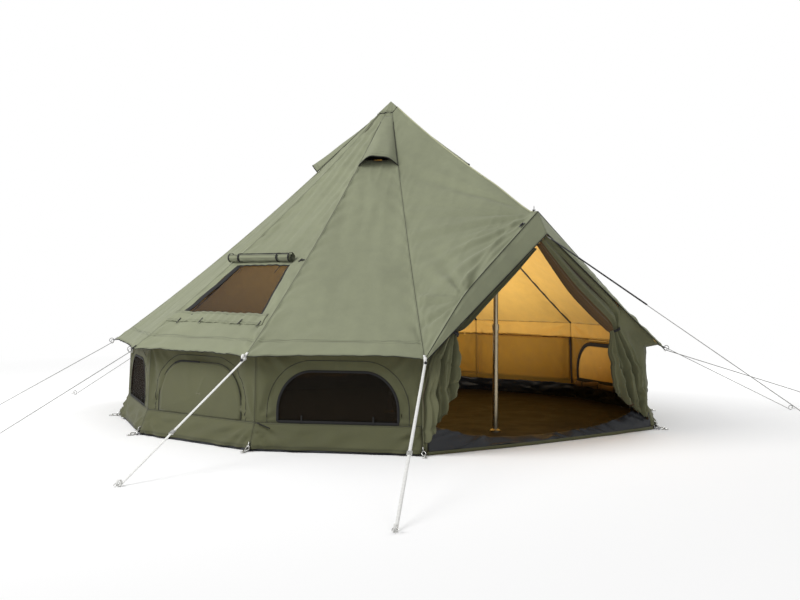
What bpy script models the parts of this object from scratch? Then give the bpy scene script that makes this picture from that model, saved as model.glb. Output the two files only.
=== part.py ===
"""Twelve-sided canvas bell tent with a porch, roof vents, windows, poles and guy lines.

Lengths are metres and +Z is up. The door faces -Y and the origin is on the ground under
the apex. A bearing is an angle in degrees round the tent, measured from the door and
positive towards +X, so the left-hand side of someone who faces the door has negative ones.
A share runs from 0 at the start of a curve, such as the apex, to 1 at its end.
"""

import math

import bmesh
import bpy
from mathutils import Matrix, Vector

# Cloth, clearances and meshing
CLOTH = 0.0025
GAP = 0.0003
OVERRUN = 0.02
SIDE_FOLD = 30.0
RIDGE_FOLD = 72.0
ROUND_SIDES = 24

# Plan: twelve corners, with the door across two sides
SIDES = 12
SIDE_TURN = 360.0 / SIDES
HALF_SIDE = math.radians(SIDE_TURN / 2)
BASE_RADIUS = 2.5
HEM_HEIGHT = 0.045
MUD_SEAM_RADIUS = 2.4375
MUD_SEAM_HEIGHT = 0.205
WALL_TOP_RADIUS = 2.4085

# Roof
APEX_HEIGHT = 2.963
EAVE_RADIUS = 2.567
EAVE_HEIGHT = 0.703
HIP_SAG = 0.09
EAVE_SCALLOP = 0.018
ROOF_ROWS = 8
ROOF_COLUMNS = 4
ROOF_START_RADIUS = 0.075
CAP_RADIUS = 0.128
CAP_TOP_RADIUS = 0.02
CAP_THICKNESS = 0.002
CAP_CLEARANCE = 0.0005

# Porch
PEAK_Y = -2.02
PEAK_HEIGHT = 1.8225
OPENING_Y = -2.13
OPENING_HEIGHT = 1.64
RIDGE_SAG = 0.06
KNEE_X = 0.875
LEFT_KNEE_RISE = 0.11
RIGHT_KNEE_RISE = -0.03
KNEE_BLEND_SHARE = 0.08
KNEE_FADE_SHARE = 0.45
PORCH_COLUMNS = 10
BAND_END_WIDTH = 0.015

# Roof vents
VENT_BEARINGS = (-45.0, 45.0, -135.0, 135.0)
VENT_TOP_RADIUS = 0.16
VENT_MOUTH_RADIUS = 0.67
VENT_RISE = 0.095
VENT_ROUNDNESS = 2.4
VENT_ROWS = 5
VENT_COLUMNS = 10
VENT_HOLE_TOP = 0.36
VENT_HOLE_BOTTOM = 0.60
VENT_HOLE_SHARE = 0.55

# Roof window and its rolled cover
ROOF_WINDOW_BEARING = -75.0
ROOF_WINDOW_CENTRE = -0.03
ROOF_WINDOW_TOP = 1.64
ROOF_WINDOW_BOTTOM = 2.125
ROOF_WINDOW_TOP_HALF = 0.315
ROOF_WINDOW_BOTTOM_HALF = 0.47
ROOF_WINDOW_LAP = 0.03
ROOF_MESH_THICKNESS = 0.0015
ROLL_CENTRE = -0.08
ROLL_RADIUS = 0.034
ROLL_CORE_RADIUS = 0.008
ROLL_HALF_LENGTH = 0.365
ROLL_TURNS = 3.0
ROLL_CLOTH = 0.0035
ROLL_TURN_POINTS = 16
ROLL_STANDOFF = 0.012

# Wall windows
WINDOW_SILL = 0.012
WINDOW_HEIGHT = 0.375
WINDOW_HALF_WIDTH = 0.455
WINDOW_CORNER_WIDTH = 0.26
WINDOW_CORNER_HEIGHT = 0.29
WINDOW_LAP = 0.025
WINDOW_CORNER_POINTS = 7
WINDOW_MESH_THICKNESS = 0.0015
WINDOW_FLAP_THICKNESS = 0.003
WINDOW_FLAP_LAP = 0.03
WINDOW_BEARINGS = (45.0, 75.0, 105.0)
CLOSED_WINDOW_BEARING = -75.0

# Flue patch and its rain flap
FLUE_BEARING = 105.0
FLUE_DISTANCE = 1.45
FLUE_HALF_WIDTH = 0.19
FLUE_HALF_LENGTH = 0.19
FLUE_HOLE_RADIUS = 0.065
FLUE_CUT_HALF = 0.13
FLUE_PATCH_THICKNESS = 0.003
FLUE_FLAP_LAP = 0.03
FLUE_FLAP_THICKNESS = 0.003

# Groundsheet and door sill
FLOOR_THICKNESS = 0.004
TUB_HEIGHT = 0.16
TUB_THICKNESS = 0.0015
SILL_THICKNESS = 0.003
SILL_CORNER_HEIGHT = 0.235
SILL_MIDDLE_HEIGHT = 0.062
SILL_LEAN = 0.07
SILL_BOW = 0.06
SILL_COLUMNS = 16
SILL_ROWS = 3
SILL_END_GAP = 0.05

# Poles
POLE_FOOT_RADIUS = 0.045
POLE_FOOT_HEIGHT = 0.012
LOWER_POLE_RADIUS = 0.0235
LOWER_POLE_BORE = 0.0205
POLE_SLIDE_CLEARANCE = 0.0004
UPPER_POLE_RADIUS = LOWER_POLE_BORE - POLE_SLIDE_CLEARANCE
UPPER_POLE_WALL = 0.0015
COLLAR_RADIUS = 0.029
COLLAR_HEIGHT = 0.05
POLE_TIP_RADIUS = 0.003
POLE_TIP_HEIGHT = 0.032
CENTRE_POLE_SPLIT = 1.5
CENTRE_POLE_OVERLAP = 0.85
FRONT_POLE_Y = -1.52
FRONT_POLE_SPLIT = 0.9
FRONT_POLE_OVERLAP = 0.6

# Door frame
FRAME_RADIUS = 0.0125
FRAME_FOOT_X = 1.12
FRAME_FOOT_Y = -2.03
FRAME_CORNER_RADIUS = 0.12
FRAME_CORNER_POINTS = 6
FRAME_DROP = 0.055
FRAME_KNEE_SHARE = 0.275
FRAME_KNEE_DROP = 0.075
FRAME_SET_BACK = 0.045
SPIKE_RADIUS = 0.005
SPIKE_HEIGHT = 0.045
SPIKE_CLEARANCE = 0.0005

# Door flaps
FLAP_THICKNESS = 0.0025
FLAP_PLEATS = 4
FLAP_ROWS = 18
FLAP_PLEAT_COLUMNS = 4
FLAP_STAND_OFF = 0.022

# Guy lines
CORD_DIAMETER = 0.006
STRAP_WIDTH = 0.02
STRAP_THICKNESS = 0.002
EYE_RADIUS = 0.02
EYE_POINTS = 9
EYE_CLEARANCE = 0.0006
EYE_SEAT = 0.0005
DOOR_EYE_SHIFT = 0.0027
GUY_SPANS = 4
GUY_PEG_RADIUS = 3.79
REAR_PEG_RADIUS = 3.6
SHOULDER_PEG_RADIUS = 4.0
DOOR_PEG_X = 2.775
DOOR_PEG_Y = -3.935
PEAK_PEG_Y = -5.3
PEAK_EYE_SHARE = 0.8
GROUND_CLEARANCE = 0.0006
SLIDER_LENGTH = 0.045
SLIDER_WIDTH = 0.032
SLIDER_THICKNESS = 0.009
SLIDER_CLEARANCE = 0.0003
SLIDER_PLACE_SHARE = 0.62

UP = Vector((0.0, 0.0, 1.0))


def outward(bearing):
    """The level direction from the centre towards a bearing."""
    angle = math.radians(bearing)
    return Vector((math.sin(angle), -math.cos(angle), 0.0))


def sideways(bearing):
    """The level direction in which the bearing grows."""
    angle = math.radians(bearing)
    return Vector((math.cos(angle), math.sin(angle), 0.0))


def mirrored(point):
    return Vector((-point.x, point.y, point.z))


def fold_inset(fold_degrees):
    """How far a sheet stops short of a fold, so that the inner faces clear each other."""
    return CLOTH * math.tan(math.radians(fold_degrees / 2)) + GAP


def material(name, colour, roughness, metallic=0.0):
    made = bpy.data.materials.new(name)
    made.use_nodes = True
    shader = made.node_tree.nodes["Principled BSDF"]
    shader.inputs["Base Color"].default_value = (*colour, 1.0)
    shader.inputs["Roughness"].default_value = roughness
    shader.inputs["Metallic"].default_value = metallic
    made.diffuse_color = (*colour, 1.0)
    return made


def new_object(name, data, finish, collection):
    made = bpy.data.objects.new(name, data)
    if finish is not None:
        data.materials.append(finish)
    collection.objects.link(made)
    return made


def grid_mesh(name, rows, facing, closed=False):
    """An open surface through rows of points, with its faces turned towards facing."""
    mesh = bmesh.new()
    verts = [[mesh.verts.new(point) for point in row] for row in rows]
    steps = len(rows[0]) if closed else len(rows[0]) - 1
    for lower, upper in zip(verts, verts[1:]):
        for i in range(steps):
            j = (i + 1) % len(lower)
            mesh.faces.new((lower[i], lower[j], upper[j], upper[i]))
    mesh.faces.ensure_lookup_table()
    mesh.normal_update()
    total = sum((face.normal * face.calc_area() for face in mesh.faces), Vector())
    if total.dot(facing) < 0:
        bmesh.ops.reverse_faces(mesh, faces=mesh.faces)
    data = bpy.data.meshes.new(name)
    mesh.to_mesh(data)
    mesh.free()
    return data


def sheet(name, rows, thickness, facing, finish, collection, outside=False, closed=False):
    """A thin closed solid on an open surface, thickened inwards or, if outside, outwards."""
    made = new_object(name, grid_mesh(name, rows, facing, closed), finish, collection)
    solid = made.modifiers.new("Thickness", "SOLIDIFY")
    solid.thickness = thickness
    solid.offset = 1.0 if outside else -1.0
    solid.use_even_offset = True
    return made


def outline_curve(name, outline, thickness, place, finish, collection):
    """A flat plate from a closed outline in the place's own X and Y."""
    data = bpy.data.curves.new(name, "CURVE")
    data.dimensions = "2D"
    data.fill_mode = "BOTH"
    data.extrude = thickness / 2
    spline = data.splines.new("POLY")
    spline.points.add(len(outline) - 1)
    for point, (x, y) in zip(spline.points, outline):
        point.co = (x, y, 0.0, 1.0)
    spline.use_cyclic_u = True
    made = new_object(name, data, finish, collection)
    made.matrix_world = place
    return made


def as_mesh(curve_object):
    """Turns a curve object into a mesh object of the same name and place."""
    bpy.context.view_layer.update()
    graph = bpy.context.evaluated_depsgraph_get()
    data = bpy.data.meshes.new_from_object(curve_object.evaluated_get(graph))
    mesh = bmesh.new()
    mesh.from_mesh(data)
    bmesh.ops.remove_doubles(mesh, verts=mesh.verts, dist=GAP / 10)
    bmesh.ops.recalc_face_normals(mesh, faces=mesh.faces)
    mesh.to_mesh(data)
    mesh.free()
    name, place = curve_object.name, curve_object.matrix_world.copy()
    homes = list(curve_object.users_collection)
    bpy.data.objects.remove(curve_object)
    made = bpy.data.objects.new(name, data)
    made.matrix_world = place
    for home in homes:
        home.objects.link(made)
    return made


def as_cutter(made):
    made.hide_render = True
    made.display_type = "WIRE"
    return made


def boolean(target, other, operation="DIFFERENCE"):
    cut = target.modifiers.new(operation.title(), "BOOLEAN")
    cut.operation = operation
    cut.object = other


def tube(name, points, diameter, finish, collection, resolution=2):
    """A round tube with filled ends along a chain of points."""
    data = bpy.data.curves.new(name, "CURVE")
    data.dimensions = "3D"
    data.bevel_depth = diameter / 2
    data.bevel_resolution = resolution
    data.use_fill_caps = True
    spline = data.splines.new("POLY")
    spline.points.add(len(points) - 1)
    for point, place in zip(spline.points, points):
        point.co = (*place, 1.0)
    return new_object(name, data, finish, collection)


def turned(name, profile, place, finish, collection):
    """A solid of revolution about a vertical axis, from its profile of (radius, height)."""
    mesh = bmesh.new()
    verts = [mesh.verts.new((radius, 0.0, height)) for radius, height in profile]
    for first, second in zip(verts, verts[1:]):
        mesh.edges.new((first, second))
    data = bpy.data.meshes.new(name)
    mesh.to_mesh(data)
    mesh.free()
    made = new_object(name, data, finish, collection)
    made.location = place
    screw = made.modifiers.new("Turn", "SCREW")
    screw.steps = ROUND_SIDES
    screw.render_steps = ROUND_SIDES
    screw.use_merge_vertices = True
    screw.merge_threshold = GAP / 10
    return made


def box_between(name, size, place, finish, collection):
    """A box of the given size, centred and turned by place."""
    mesh = bmesh.new()
    bmesh.ops.create_cube(mesh, size=1.0, matrix=place @ Matrix.Diagonal((*size, 1.0)))
    data = bpy.data.meshes.new(name)
    mesh.to_mesh(data)
    mesh.free()
    return new_object(name, data, finish, collection)


def frame_at(origin, x_axis, y_axis, z_axis):
    turn = Matrix((x_axis, y_axis, z_axis)).transposed().to_4x4()
    return Matrix.Translation(origin) @ turn


# Roof surface

EAVE_REACH = EAVE_RADIUS * math.cos(HALF_SIDE)
WALL_TOP_SHARE = WALL_TOP_RADIUS / EAVE_RADIUS


def roof_shares():
    """Where every gore has a fold: its gathered top, the cap's hem, and on to the eave."""
    hem = CAP_RADIUS / EAVE_RADIUS
    steps = [hem + (WALL_TOP_SHARE - hem) * i / ROOF_ROWS for i in range(ROOF_ROWS + 1)]
    return [ROOF_START_RADIUS / EAVE_RADIUS] + steps + [1.0]


ROOF_SHARES = roof_shares()


def sagging(share, start, end, sag):
    """A height that goes from start to end with a sag, straight between the roof's folds."""
    folds = [0.0] + ROOF_SHARES
    above = next(i for i in range(1, len(folds)) if share <= folds[i] or i == len(folds) - 1)
    low, high = folds[above - 1], folds[above]
    ends = [start + (end - start) * t - sag * 4 * t * (1 - t) for t in (low, high)]
    return ends[0] + (ends[1] - ends[0]) * (share - low) / (high - low)


def hip_height(share):
    return sagging(share, APEX_HEIGHT, EAVE_HEIGHT, HIP_SAG)


def hip_slope(share):
    """Fall of the roof for each metre outwards, at the middle of a gore."""
    before, after = min(share, 1.0) - GAP, min(share, 1.0) + GAP
    return (hip_height(after) - hip_height(before)) / (2 * GAP * EAVE_REACH)


def shares_between(first, last, steps):
    """Even steps between two distances from the middle, and every fold of the roof there."""
    first, last = first / EAVE_REACH, last / EAVE_REACH
    shares = [first + (last - first) * i / steps for i in range(steps + 1)]
    return sorted(shares + [share for share in ROOF_SHARES if first < share < last])


def roof_normal(bearing, share):
    return (UP - outward(bearing) * hip_slope(share)).normalized()


def half_gore(share):
    return share * EAVE_RADIUS * math.sin(HALF_SIDE) - fold_inset(SIDE_FOLD)


def roof_point(bearing, side, share, lift=0.0):
    """A point on the gore at a bearing, side metres from its middle, lift metres above it."""
    level = outward(bearing) * (share * EAVE_REACH) + sideways(bearing) * side
    return level + UP * hip_height(share) + roof_normal(bearing, share) * lift


def gore_rows(bearing):
    """Rows of a gore from its gathered top to the eave, which is cut in a shallow curve."""
    scallop_share = EAVE_SCALLOP / EAVE_REACH
    rows = []
    for share in ROOF_SHARES:
        row = []
        for i in range(ROOF_COLUMNS + 1):
            across = 2 * i / ROOF_COLUMNS - 1
            cut = scallop_share * (1 - across**2) if share == 1.0 else 0.0
            row.append(roof_point(bearing, across * half_gore(share), share - cut))
        rows.append(row)
    return rows


def roof_prism(name, bearing, corners, cutters):
    """A cutter through the roof on a straight-sided outline of (side, level distance)."""
    middle = sum(distance for _, distance in corners) / len(corners) / EAVE_REACH
    normal = roof_normal(bearing, middle)
    across = sideways(bearing)
    uphill = normal.cross(across)
    origin = roof_point(bearing, 0.0, middle)
    outline = []
    for side, distance in corners:
        offset = roof_point(bearing, side, distance / EAVE_REACH) - origin
        outline.append((offset.dot(across), offset.dot(uphill)))
    place = frame_at(origin, across, uphill, normal)
    deep = 4 * (OVERRUN + HIP_SAG)
    return as_cutter(as_mesh(outline_curve(name, outline, deep, place, None, cutters)))


def make_roof(canvas, parts, cutters):
    gores = {}
    for hand, sign in (("left", -1), ("right", 1)):
        for number in range(1, 5):
            bearing = sign * (SIDE_TURN / 2 + number * SIDE_TURN)
            name = f"roof_gore_{hand}_{number}"
            rows = gore_rows(bearing)
            gores[bearing] = sheet(name, rows, CLOTH, UP, canvas, parts)
    left = gore_rows(180.0 + SIDE_TURN / 2)
    right = gore_rows(180.0 - SIDE_TURN / 2)
    rows = [r[:-1] + [(r[-1] + l[0]) / 2] + l[1:] for l, r in zip(left, right)]
    sheet("roof_gore_rear", rows, CLOTH, UP, canvas, parts)
    for bearing in VENT_BEARINGS:
        top_half = half_gore(VENT_HOLE_TOP / EAVE_REACH) * VENT_HOLE_SHARE
        low_half = half_gore(VENT_HOLE_BOTTOM / EAVE_REACH) * VENT_HOLE_SHARE
        corners = (
            (-low_half, VENT_HOLE_BOTTOM),
            (low_half, VENT_HOLE_BOTTOM),
            (top_half, VENT_HOLE_TOP),
            (-top_half, VENT_HOLE_TOP),
        )
        boolean(gores[bearing], roof_prism(f"vent_cut_{bearing:.0f}", bearing, corners, cutters))
    corners = (
        (ROOF_WINDOW_CENTRE - ROOF_WINDOW_BOTTOM_HALF, ROOF_WINDOW_BOTTOM),
        (ROOF_WINDOW_CENTRE + ROOF_WINDOW_BOTTOM_HALF, ROOF_WINDOW_BOTTOM),
        (ROOF_WINDOW_CENTRE + ROOF_WINDOW_TOP_HALF, ROOF_WINDOW_TOP),
        (ROOF_WINDOW_CENTRE - ROOF_WINDOW_TOP_HALF, ROOF_WINDOW_TOP),
    )
    window_cut = roof_prism("roof_window_cut", ROOF_WINDOW_BEARING, corners, cutters)
    boolean(gores[ROOF_WINDOW_BEARING], window_cut)
    corners = (
        (-FLUE_CUT_HALF, FLUE_DISTANCE + FLUE_CUT_HALF),
        (FLUE_CUT_HALF, FLUE_DISTANCE + FLUE_CUT_HALF),
        (FLUE_CUT_HALF, FLUE_DISTANCE - FLUE_CUT_HALF),
        (-FLUE_CUT_HALF, FLUE_DISTANCE - FLUE_CUT_HALF),
    )
    boolean(gores[FLUE_BEARING], roof_prism("flue_cut", FLUE_BEARING, corners, cutters))


def make_cap(canvas, parts):
    """A cone over the gathered tops of the gores, with a closed tip."""
    rows = []
    for radius in (CAP_TOP_RADIUS, ROOF_START_RADIUS, CAP_RADIUS):
        share = radius / EAVE_RADIUS
        corners = [ridge_point(share)]
        corners += [hip_point(k * SIDE_TURN, share) for k in range(1, SIDES)]
        row = []
        for k, corner in enumerate(corners):
            after = corners[(k + 1) % SIDES]
            steps = PORCH_COLUMNS if k in (0, SIDES - 1) else 1
            row += [corner.lerp(after, i / steps) + UP * CAP_CLEARANCE for i in range(steps)]
        rows.append(row)
    data = grid_mesh("apex_cap", rows, UP, closed=True)
    mesh = bmesh.new()
    mesh.from_mesh(data)
    tip = [edge for edge in mesh.edges if all(v.co.xy.length < 2 * CAP_TOP_RADIUS for v in edge.verts)]
    bmesh.ops.holes_fill(mesh, edges=tip)
    mesh.normal_update()
    for face in mesh.faces:
        if len(face.verts) > 4 and face.normal.z < 0:
            face.normal_flip()
    mesh.to_mesh(data)
    mesh.free()
    made = new_object("apex_cap", data, canvas, parts)
    solid = made.modifiers.new("Thickness", "SOLIDIFY")
    solid.thickness = CAP_THICKNESS
    solid.offset = 1.0
    solid.use_even_offset = True


# Porch

PEAK = Vector((0.0, PEAK_Y, PEAK_HEIGHT))
OPENING_TOP = Vector((0.0, OPENING_Y, OPENING_HEIGHT))
DOOR_BEARING = SIDE_TURN


def ridge_point(share):
    """The ridge from the apex to the porch peak, which sags between them."""
    return Vector((0.0, PEAK_Y * share, sagging(share, APEX_HEIGHT, PEAK_HEIGHT, RIDGE_SAG)))


def hip_point(bearing, share):
    return outward(bearing) * (share * EAVE_RADIUS) + UP * hip_height(share)


def knee_push(along):
    """The share of the knee's rise at a place on the porch seam, from corner to peak."""
    knee = 1 - KNEE_X / (EAVE_RADIUS * math.sin(math.radians(DOOR_BEARING)))
    near, far = along / knee, (1 - along) / (1 - knee)
    soft = KNEE_BLEND_SHARE
    return max(0.0, (near + far - math.sqrt((near - far) ** 2 + soft)) / 2)


def porch_rows(sign):
    """Rows from the apex to the porch seam, and one more for the edge of the opening."""
    bearing = sign * DOOR_BEARING
    hip_in, ridge_in = fold_inset(SIDE_FOLD), fold_inset(RIDGE_FOLD)
    rows = []
    for share in ROOF_SHARES:
        start, end = hip_point(bearing, share), ridge_point(share)
        run = (end - start).normalized()
        start = start + run * hip_in
        end = end - run * (ridge_in / abs(run.x))
        knee = LEFT_KNEE_RISE if sign < 0 else RIGHT_KNEE_RISE
        knee *= max(0.0, (share - KNEE_FADE_SHARE) / (1 - KNEE_FADE_SHARE)) ** 2
        row = []
        for i in range(PORCH_COLUMNS + 1):
            along = i / PORCH_COLUMNS
            row.append(start.lerp(end, along) + UP * (knee * knee_push(along)))
        rows.append(row)
    corner = hip_point(bearing, 1.0)
    low = corner + (OPENING_TOP - PEAK).normalized() * BAND_END_WIDTH
    low.x -= sign * hip_in
    high = OPENING_TOP + Vector((sign * ridge_in, 0.0, 0.0))
    rows.append([low.lerp(high, i / PORCH_COLUMNS) for i in range(PORCH_COLUMNS + 1)])
    return rows


def make_porch(canvas, parts, cutters):
    mesh_object = bmesh.new()
    bmesh.ops.create_cone(
        mesh_object,
        cap_ends=True,
        segments=ROUND_SIDES,
        radius1=SPIKE_RADIUS + SPIKE_CLEARANCE,
        radius2=SPIKE_RADIUS + SPIKE_CLEARANCE,
        depth=4 * OVERRUN + 2 * SPIKE_HEIGHT,
        matrix=Matrix.Translation(spike_place()),
    )
    data = bpy.data.meshes.new("spike_cut")
    mesh_object.to_mesh(data)
    mesh_object.free()
    spike_cut = as_cutter(new_object("spike_cut", data, None, cutters))
    for hand, sign in (("left", -1), ("right", 1)):
        rows = porch_rows(sign)
        made = sheet(f"porch_gore_{hand}", rows, CLOTH, UP, canvas, parts)
        boolean(made, spike_cut)


# Vents

def make_vents(canvas, parts):
    """Hoods that swell up from the roof and open downhill."""
    names = {-45.0: "front_left", 45.0: "front_right", -135.0: "rear_left", 135.0: "rear_right"}
    for bearing in VENT_BEARINGS:
        rows = []
        for share in shares_between(VENT_TOP_RADIUS, VENT_MOUTH_RADIUS, VENT_ROWS):
            distance = share * EAVE_REACH
            down = max(0.0, (distance - VENT_TOP_RADIUS) / (VENT_MOUTH_RADIUS - VENT_TOP_RADIUS))
            row = []
            for j in range(VENT_COLUMNS + 1):
                across = 2 * j / VENT_COLUMNS - 1
                lift = GAP + VENT_RISE * down * (1 - abs(across) ** VENT_ROUNDNESS)
                row.append(roof_point(bearing, across * half_gore(share), share, lift))
            rows.append(row)
        sheet(f"vent_hood_{names[bearing]}", rows, CLOTH, UP, canvas, parts, outside=True)


# Roof window

def make_roof_window(mesh_cloth, canvas, parts):
    lap = ROOF_WINDOW_LAP
    rows = []
    for share in shares_between(ROOF_WINDOW_TOP - lap, ROOF_WINDOW_BOTTOM + lap, 1):
        down = (share * EAVE_REACH - ROOF_WINDOW_TOP) / (ROOF_WINDOW_BOTTOM - ROOF_WINDOW_TOP)
        half = ROOF_WINDOW_TOP_HALF + (ROOF_WINDOW_BOTTOM_HALF - ROOF_WINDOW_TOP_HALF) * down + lap
        sides = (ROOF_WINDOW_CENTRE - half, ROOF_WINDOW_CENTRE + half)
        lift = -(CLOTH + 2 * GAP)
        rows.append([roof_point(ROOF_WINDOW_BEARING, side, share, lift) for side in sides])
    sheet("roof_window_mesh", rows, ROOF_MESH_THICKNESS, UP, mesh_cloth, parts)
    share = (ROOF_WINDOW_TOP - ROLL_RADIUS - ROLL_STANDOFF) / EAVE_REACH
    normal = roof_normal(ROOF_WINDOW_BEARING, share)
    across = sideways(ROOF_WINDOW_BEARING)
    uphill = normal.cross(across)
    under = ROLL_RADIUS - (ROLL_RADIUS - ROLL_CORE_RADIUS) / (2 * ROLL_TURNS)
    centre = roof_point(ROOF_WINDOW_BEARING, ROLL_CENTRE, share, under + GAP)
    place = frame_at(centre, normal, uphill, across * -1)
    outline_curve(
        "roof_window_roll", roll_outline(), 2 * ROLL_HALF_LENGTH, place, canvas, parts
    )


def roll_outline():
    """A spiral band of cloth: out along its outer face, and back along its inner one."""
    steps = int(ROLL_TURNS * ROLL_TURN_POINTS)
    outer, inner = [], []
    for i in range(steps + 1):
        angle = 2 * math.pi * i / ROLL_TURN_POINTS
        radius = ROLL_CORE_RADIUS + (ROLL_RADIUS - ROLL_CORE_RADIUS) * i / steps
        outer.append((radius * math.cos(angle), radius * math.sin(angle)))
        radius -= ROLL_CLOTH
        inner.append((radius * math.cos(angle), radius * math.sin(angle)))
    return outer + inner[::-1]


# Walls

def wall_frame(bearing):
    """Where a wall panel stands: X sideways, Y up its face from the mud seam, Z outwards."""
    low = outward(bearing) * (MUD_SEAM_RADIUS * math.cos(HALF_SIDE)) + UP * MUD_SEAM_HEIGHT
    high = outward(bearing) * (WALL_TOP_RADIUS * math.cos(HALF_SIDE)) + UP * wall_top_height()
    upwards = (high - low).normalized()
    across = sideways(bearing)
    return frame_at(low, across, upwards, across.cross(upwards))


def wall_top_height():
    """Just under the roof cloth, at the wall's outer face."""
    slope = hip_slope(WALL_TOP_SHARE)
    return hip_height(WALL_TOP_SHARE) - CLOTH * math.hypot(1.0, slope) - 2 * GAP


def wall_rows(bearing):
    rows = []
    places = (
        (BASE_RADIUS, 0.0),
        (BASE_RADIUS, HEM_HEIGHT),
        (MUD_SEAM_RADIUS, MUD_SEAM_HEIGHT),
        (WALL_TOP_RADIUS, wall_top_height()),
    )
    for radius, height in places:
        half = radius * math.sin(HALF_SIDE) - fold_inset(SIDE_FOLD)
        middle = outward(bearing) * (radius * math.cos(HALF_SIDE)) + UP * height
        rows.append([middle + sideways(bearing) * side for side in (-half, half)])
    return rows


def arch_outline(grow, sill):
    """A window: level sill, short upright sides and a flat-topped arch, grown all round."""
    half = WINDOW_HALF_WIDTH + grow
    top = WINDOW_SILL + WINDOW_HEIGHT + grow
    wide, high = WINDOW_CORNER_WIDTH + grow, WINDOW_CORNER_HEIGHT + grow
    right = [(half, sill)]
    for i in range(WINDOW_CORNER_POINTS + 1):
        angle = math.pi / 2 * i / WINDOW_CORNER_POINTS
        right.append((half - wide + wide * math.cos(angle), top - high + high * math.sin(angle)))
    return right + [(-x, y) for x, y in reversed(right)]


def make_walls(canvas, mesh_cloth, parts, cutters):
    for hand, sign in (("left", -1), ("right", 1)):
        for number, size in enumerate(WINDOW_BEARINGS, 1):
            bearing = sign * size
            wall = sheet(
                f"wall_panel_{hand}_{number}", wall_rows(bearing), CLOTH, outward(bearing), canvas, parts
            )
            place = wall_frame(bearing)
            hole = outline_curve(
                f"window_cut_{hand}_{number}",
                arch_outline(0.0, WINDOW_SILL),
                2 * OVERRUN,
                place,
                None,
                cutters,
            )
            boolean(wall, as_cutter(as_mesh(hole)))
            behind = place @ Matrix.Translation(
                (0.0, 0.0, -(CLOTH + GAP + WINDOW_MESH_THICKNESS / 2))
            )
            outline_curve(
                f"window_mesh_{hand}_{number}",
                arch_outline(WINDOW_LAP, GAP),
                WINDOW_MESH_THICKNESS,
                behind,
                mesh_cloth,
                parts,
            )
        low = wall_rows(sign * (SIDE_TURN / 2 + 4 * SIDE_TURN))
        far = wall_rows(sign * (SIDE_TURN / 2 + 5 * SIDE_TURN))
        if sign > 0:
            rows = [[a[0], (a[1] + b[0]) / 2, b[1]] for a, b in zip(low, far)]
        else:
            rows = [[b[0], (b[1] + a[0]) / 2, a[1]] for a, b in zip(low, far)]
        facing = outward(sign * 5 * SIDE_TURN)
        sheet(f"wall_panel_rear_{hand}", rows, CLOTH, facing, canvas, parts)
    front = wall_frame(CLOSED_WINDOW_BEARING) @ Matrix.Translation(
        (0.0, 0.0, GAP + WINDOW_FLAP_THICKNESS / 2)
    )
    outline_curve(
        "window_flap_left_2",
        arch_outline(WINDOW_FLAP_LAP, GAP),
        WINDOW_FLAP_THICKNESS,
        front,
        canvas,
        parts,
    )


# Flue patch

def flue_sheet(name, half, grow, thickness, lift, finish, parts):
    reach = FLUE_HALF_LENGTH + grow
    rows = [
        [roof_point(FLUE_BEARING, side, share, lift) for side in (-half - grow, half + grow)]
        for share in shares_between(FLUE_DISTANCE - reach, FLUE_DISTANCE + reach, 1)
    ]
    return sheet(name, rows, thickness, UP, finish, parts, outside=True)


def make_flue(patch_cloth, canvas, parts, cutters):
    """A heat-proof patch with a round hole for a stove pipe, and a flap that covers it."""
    patch = flue_sheet(
        "flue_patch", FLUE_HALF_WIDTH, 0.0, FLUE_PATCH_THICKNESS, GAP, patch_cloth, parts
    )
    mesh = bmesh.new()
    bmesh.ops.create_cone(
        mesh,
        cap_ends=True,
        segments=ROUND_SIDES,
        radius1=FLUE_HOLE_RADIUS,
        radius2=FLUE_HOLE_RADIUS,
        depth=2 * (FLUE_CUT_HALF + OVERRUN),
        matrix=Matrix.Translation(roof_point(FLUE_BEARING, 0.0, FLUE_DISTANCE / EAVE_REACH)),
    )
    data = bpy.data.meshes.new("flue_hole")
    mesh.to_mesh(data)
    mesh.free()
    boolean(patch, as_cutter(new_object("flue_hole", data, None, cutters)))
    lift = 2 * GAP + FLUE_PATCH_THICKNESS
    flue_sheet(
        "flue_flap", FLUE_HALF_WIDTH, FLUE_FLAP_LAP, FLUE_FLAP_THICKNESS, lift, canvas, parts
    )


# Groundsheet and sill

def floor_outline():
    """Just inside the foot of the walls, with one long side at the door."""
    radius = BASE_RADIUS - (CLOTH + 2 * GAP) / math.cos(HALF_SIDE)
    outline = []
    for k in range(1, SIDES):
        point = outward(k * SIDE_TURN) * radius
        outline.append((point.x, point.y))
    return outline


def make_floor(floor_cloth, tub_cloth, parts):
    place = Matrix.Translation((0.0, 0.0, FLOOR_THICKNESS / 2))
    outline_curve("groundsheet_floor", floor_outline(), FLOOR_THICKNESS, place, floor_cloth, parts)
    rows = []
    for height in (FLOOR_THICKNESS + GAP, HEM_HEIGHT, TUB_HEIGHT):
        share = max(0.0, height - HEM_HEIGHT) / (MUD_SEAM_HEIGHT - HEM_HEIGHT)
        radius = BASE_RADIUS + (MUD_SEAM_RADIUS - BASE_RADIUS) * share
        radius -= (CLOTH + 2 * GAP) / math.cos(HALF_SIDE)
        trim = fold_inset(SIDE_FOLD) + GAP
        row = [outward(k * SIDE_TURN) * radius + UP * height for k in range(1, SIDES)]
        row[0] += (row[1] - row[0]).normalized() * trim
        row[-1] += (row[-2] - row[-1]).normalized() * trim
        rows.append(row)
    mesh = grid_mesh("groundsheet_tub_wall", rows, Vector((0.0, 1.0, 0.0)))
    made = new_object("groundsheet_tub_wall", mesh, tub_cloth, parts)
    first = made.data.polygons[0]
    if first.normal.dot(first.center) > 0:
        made.data.flip_normals()
    solid = made.modifiers.new("Thickness", "SOLIDIFY")
    solid.thickness = TUB_THICKNESS
    solid.offset = 1.0
    solid.use_even_offset = True


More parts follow.
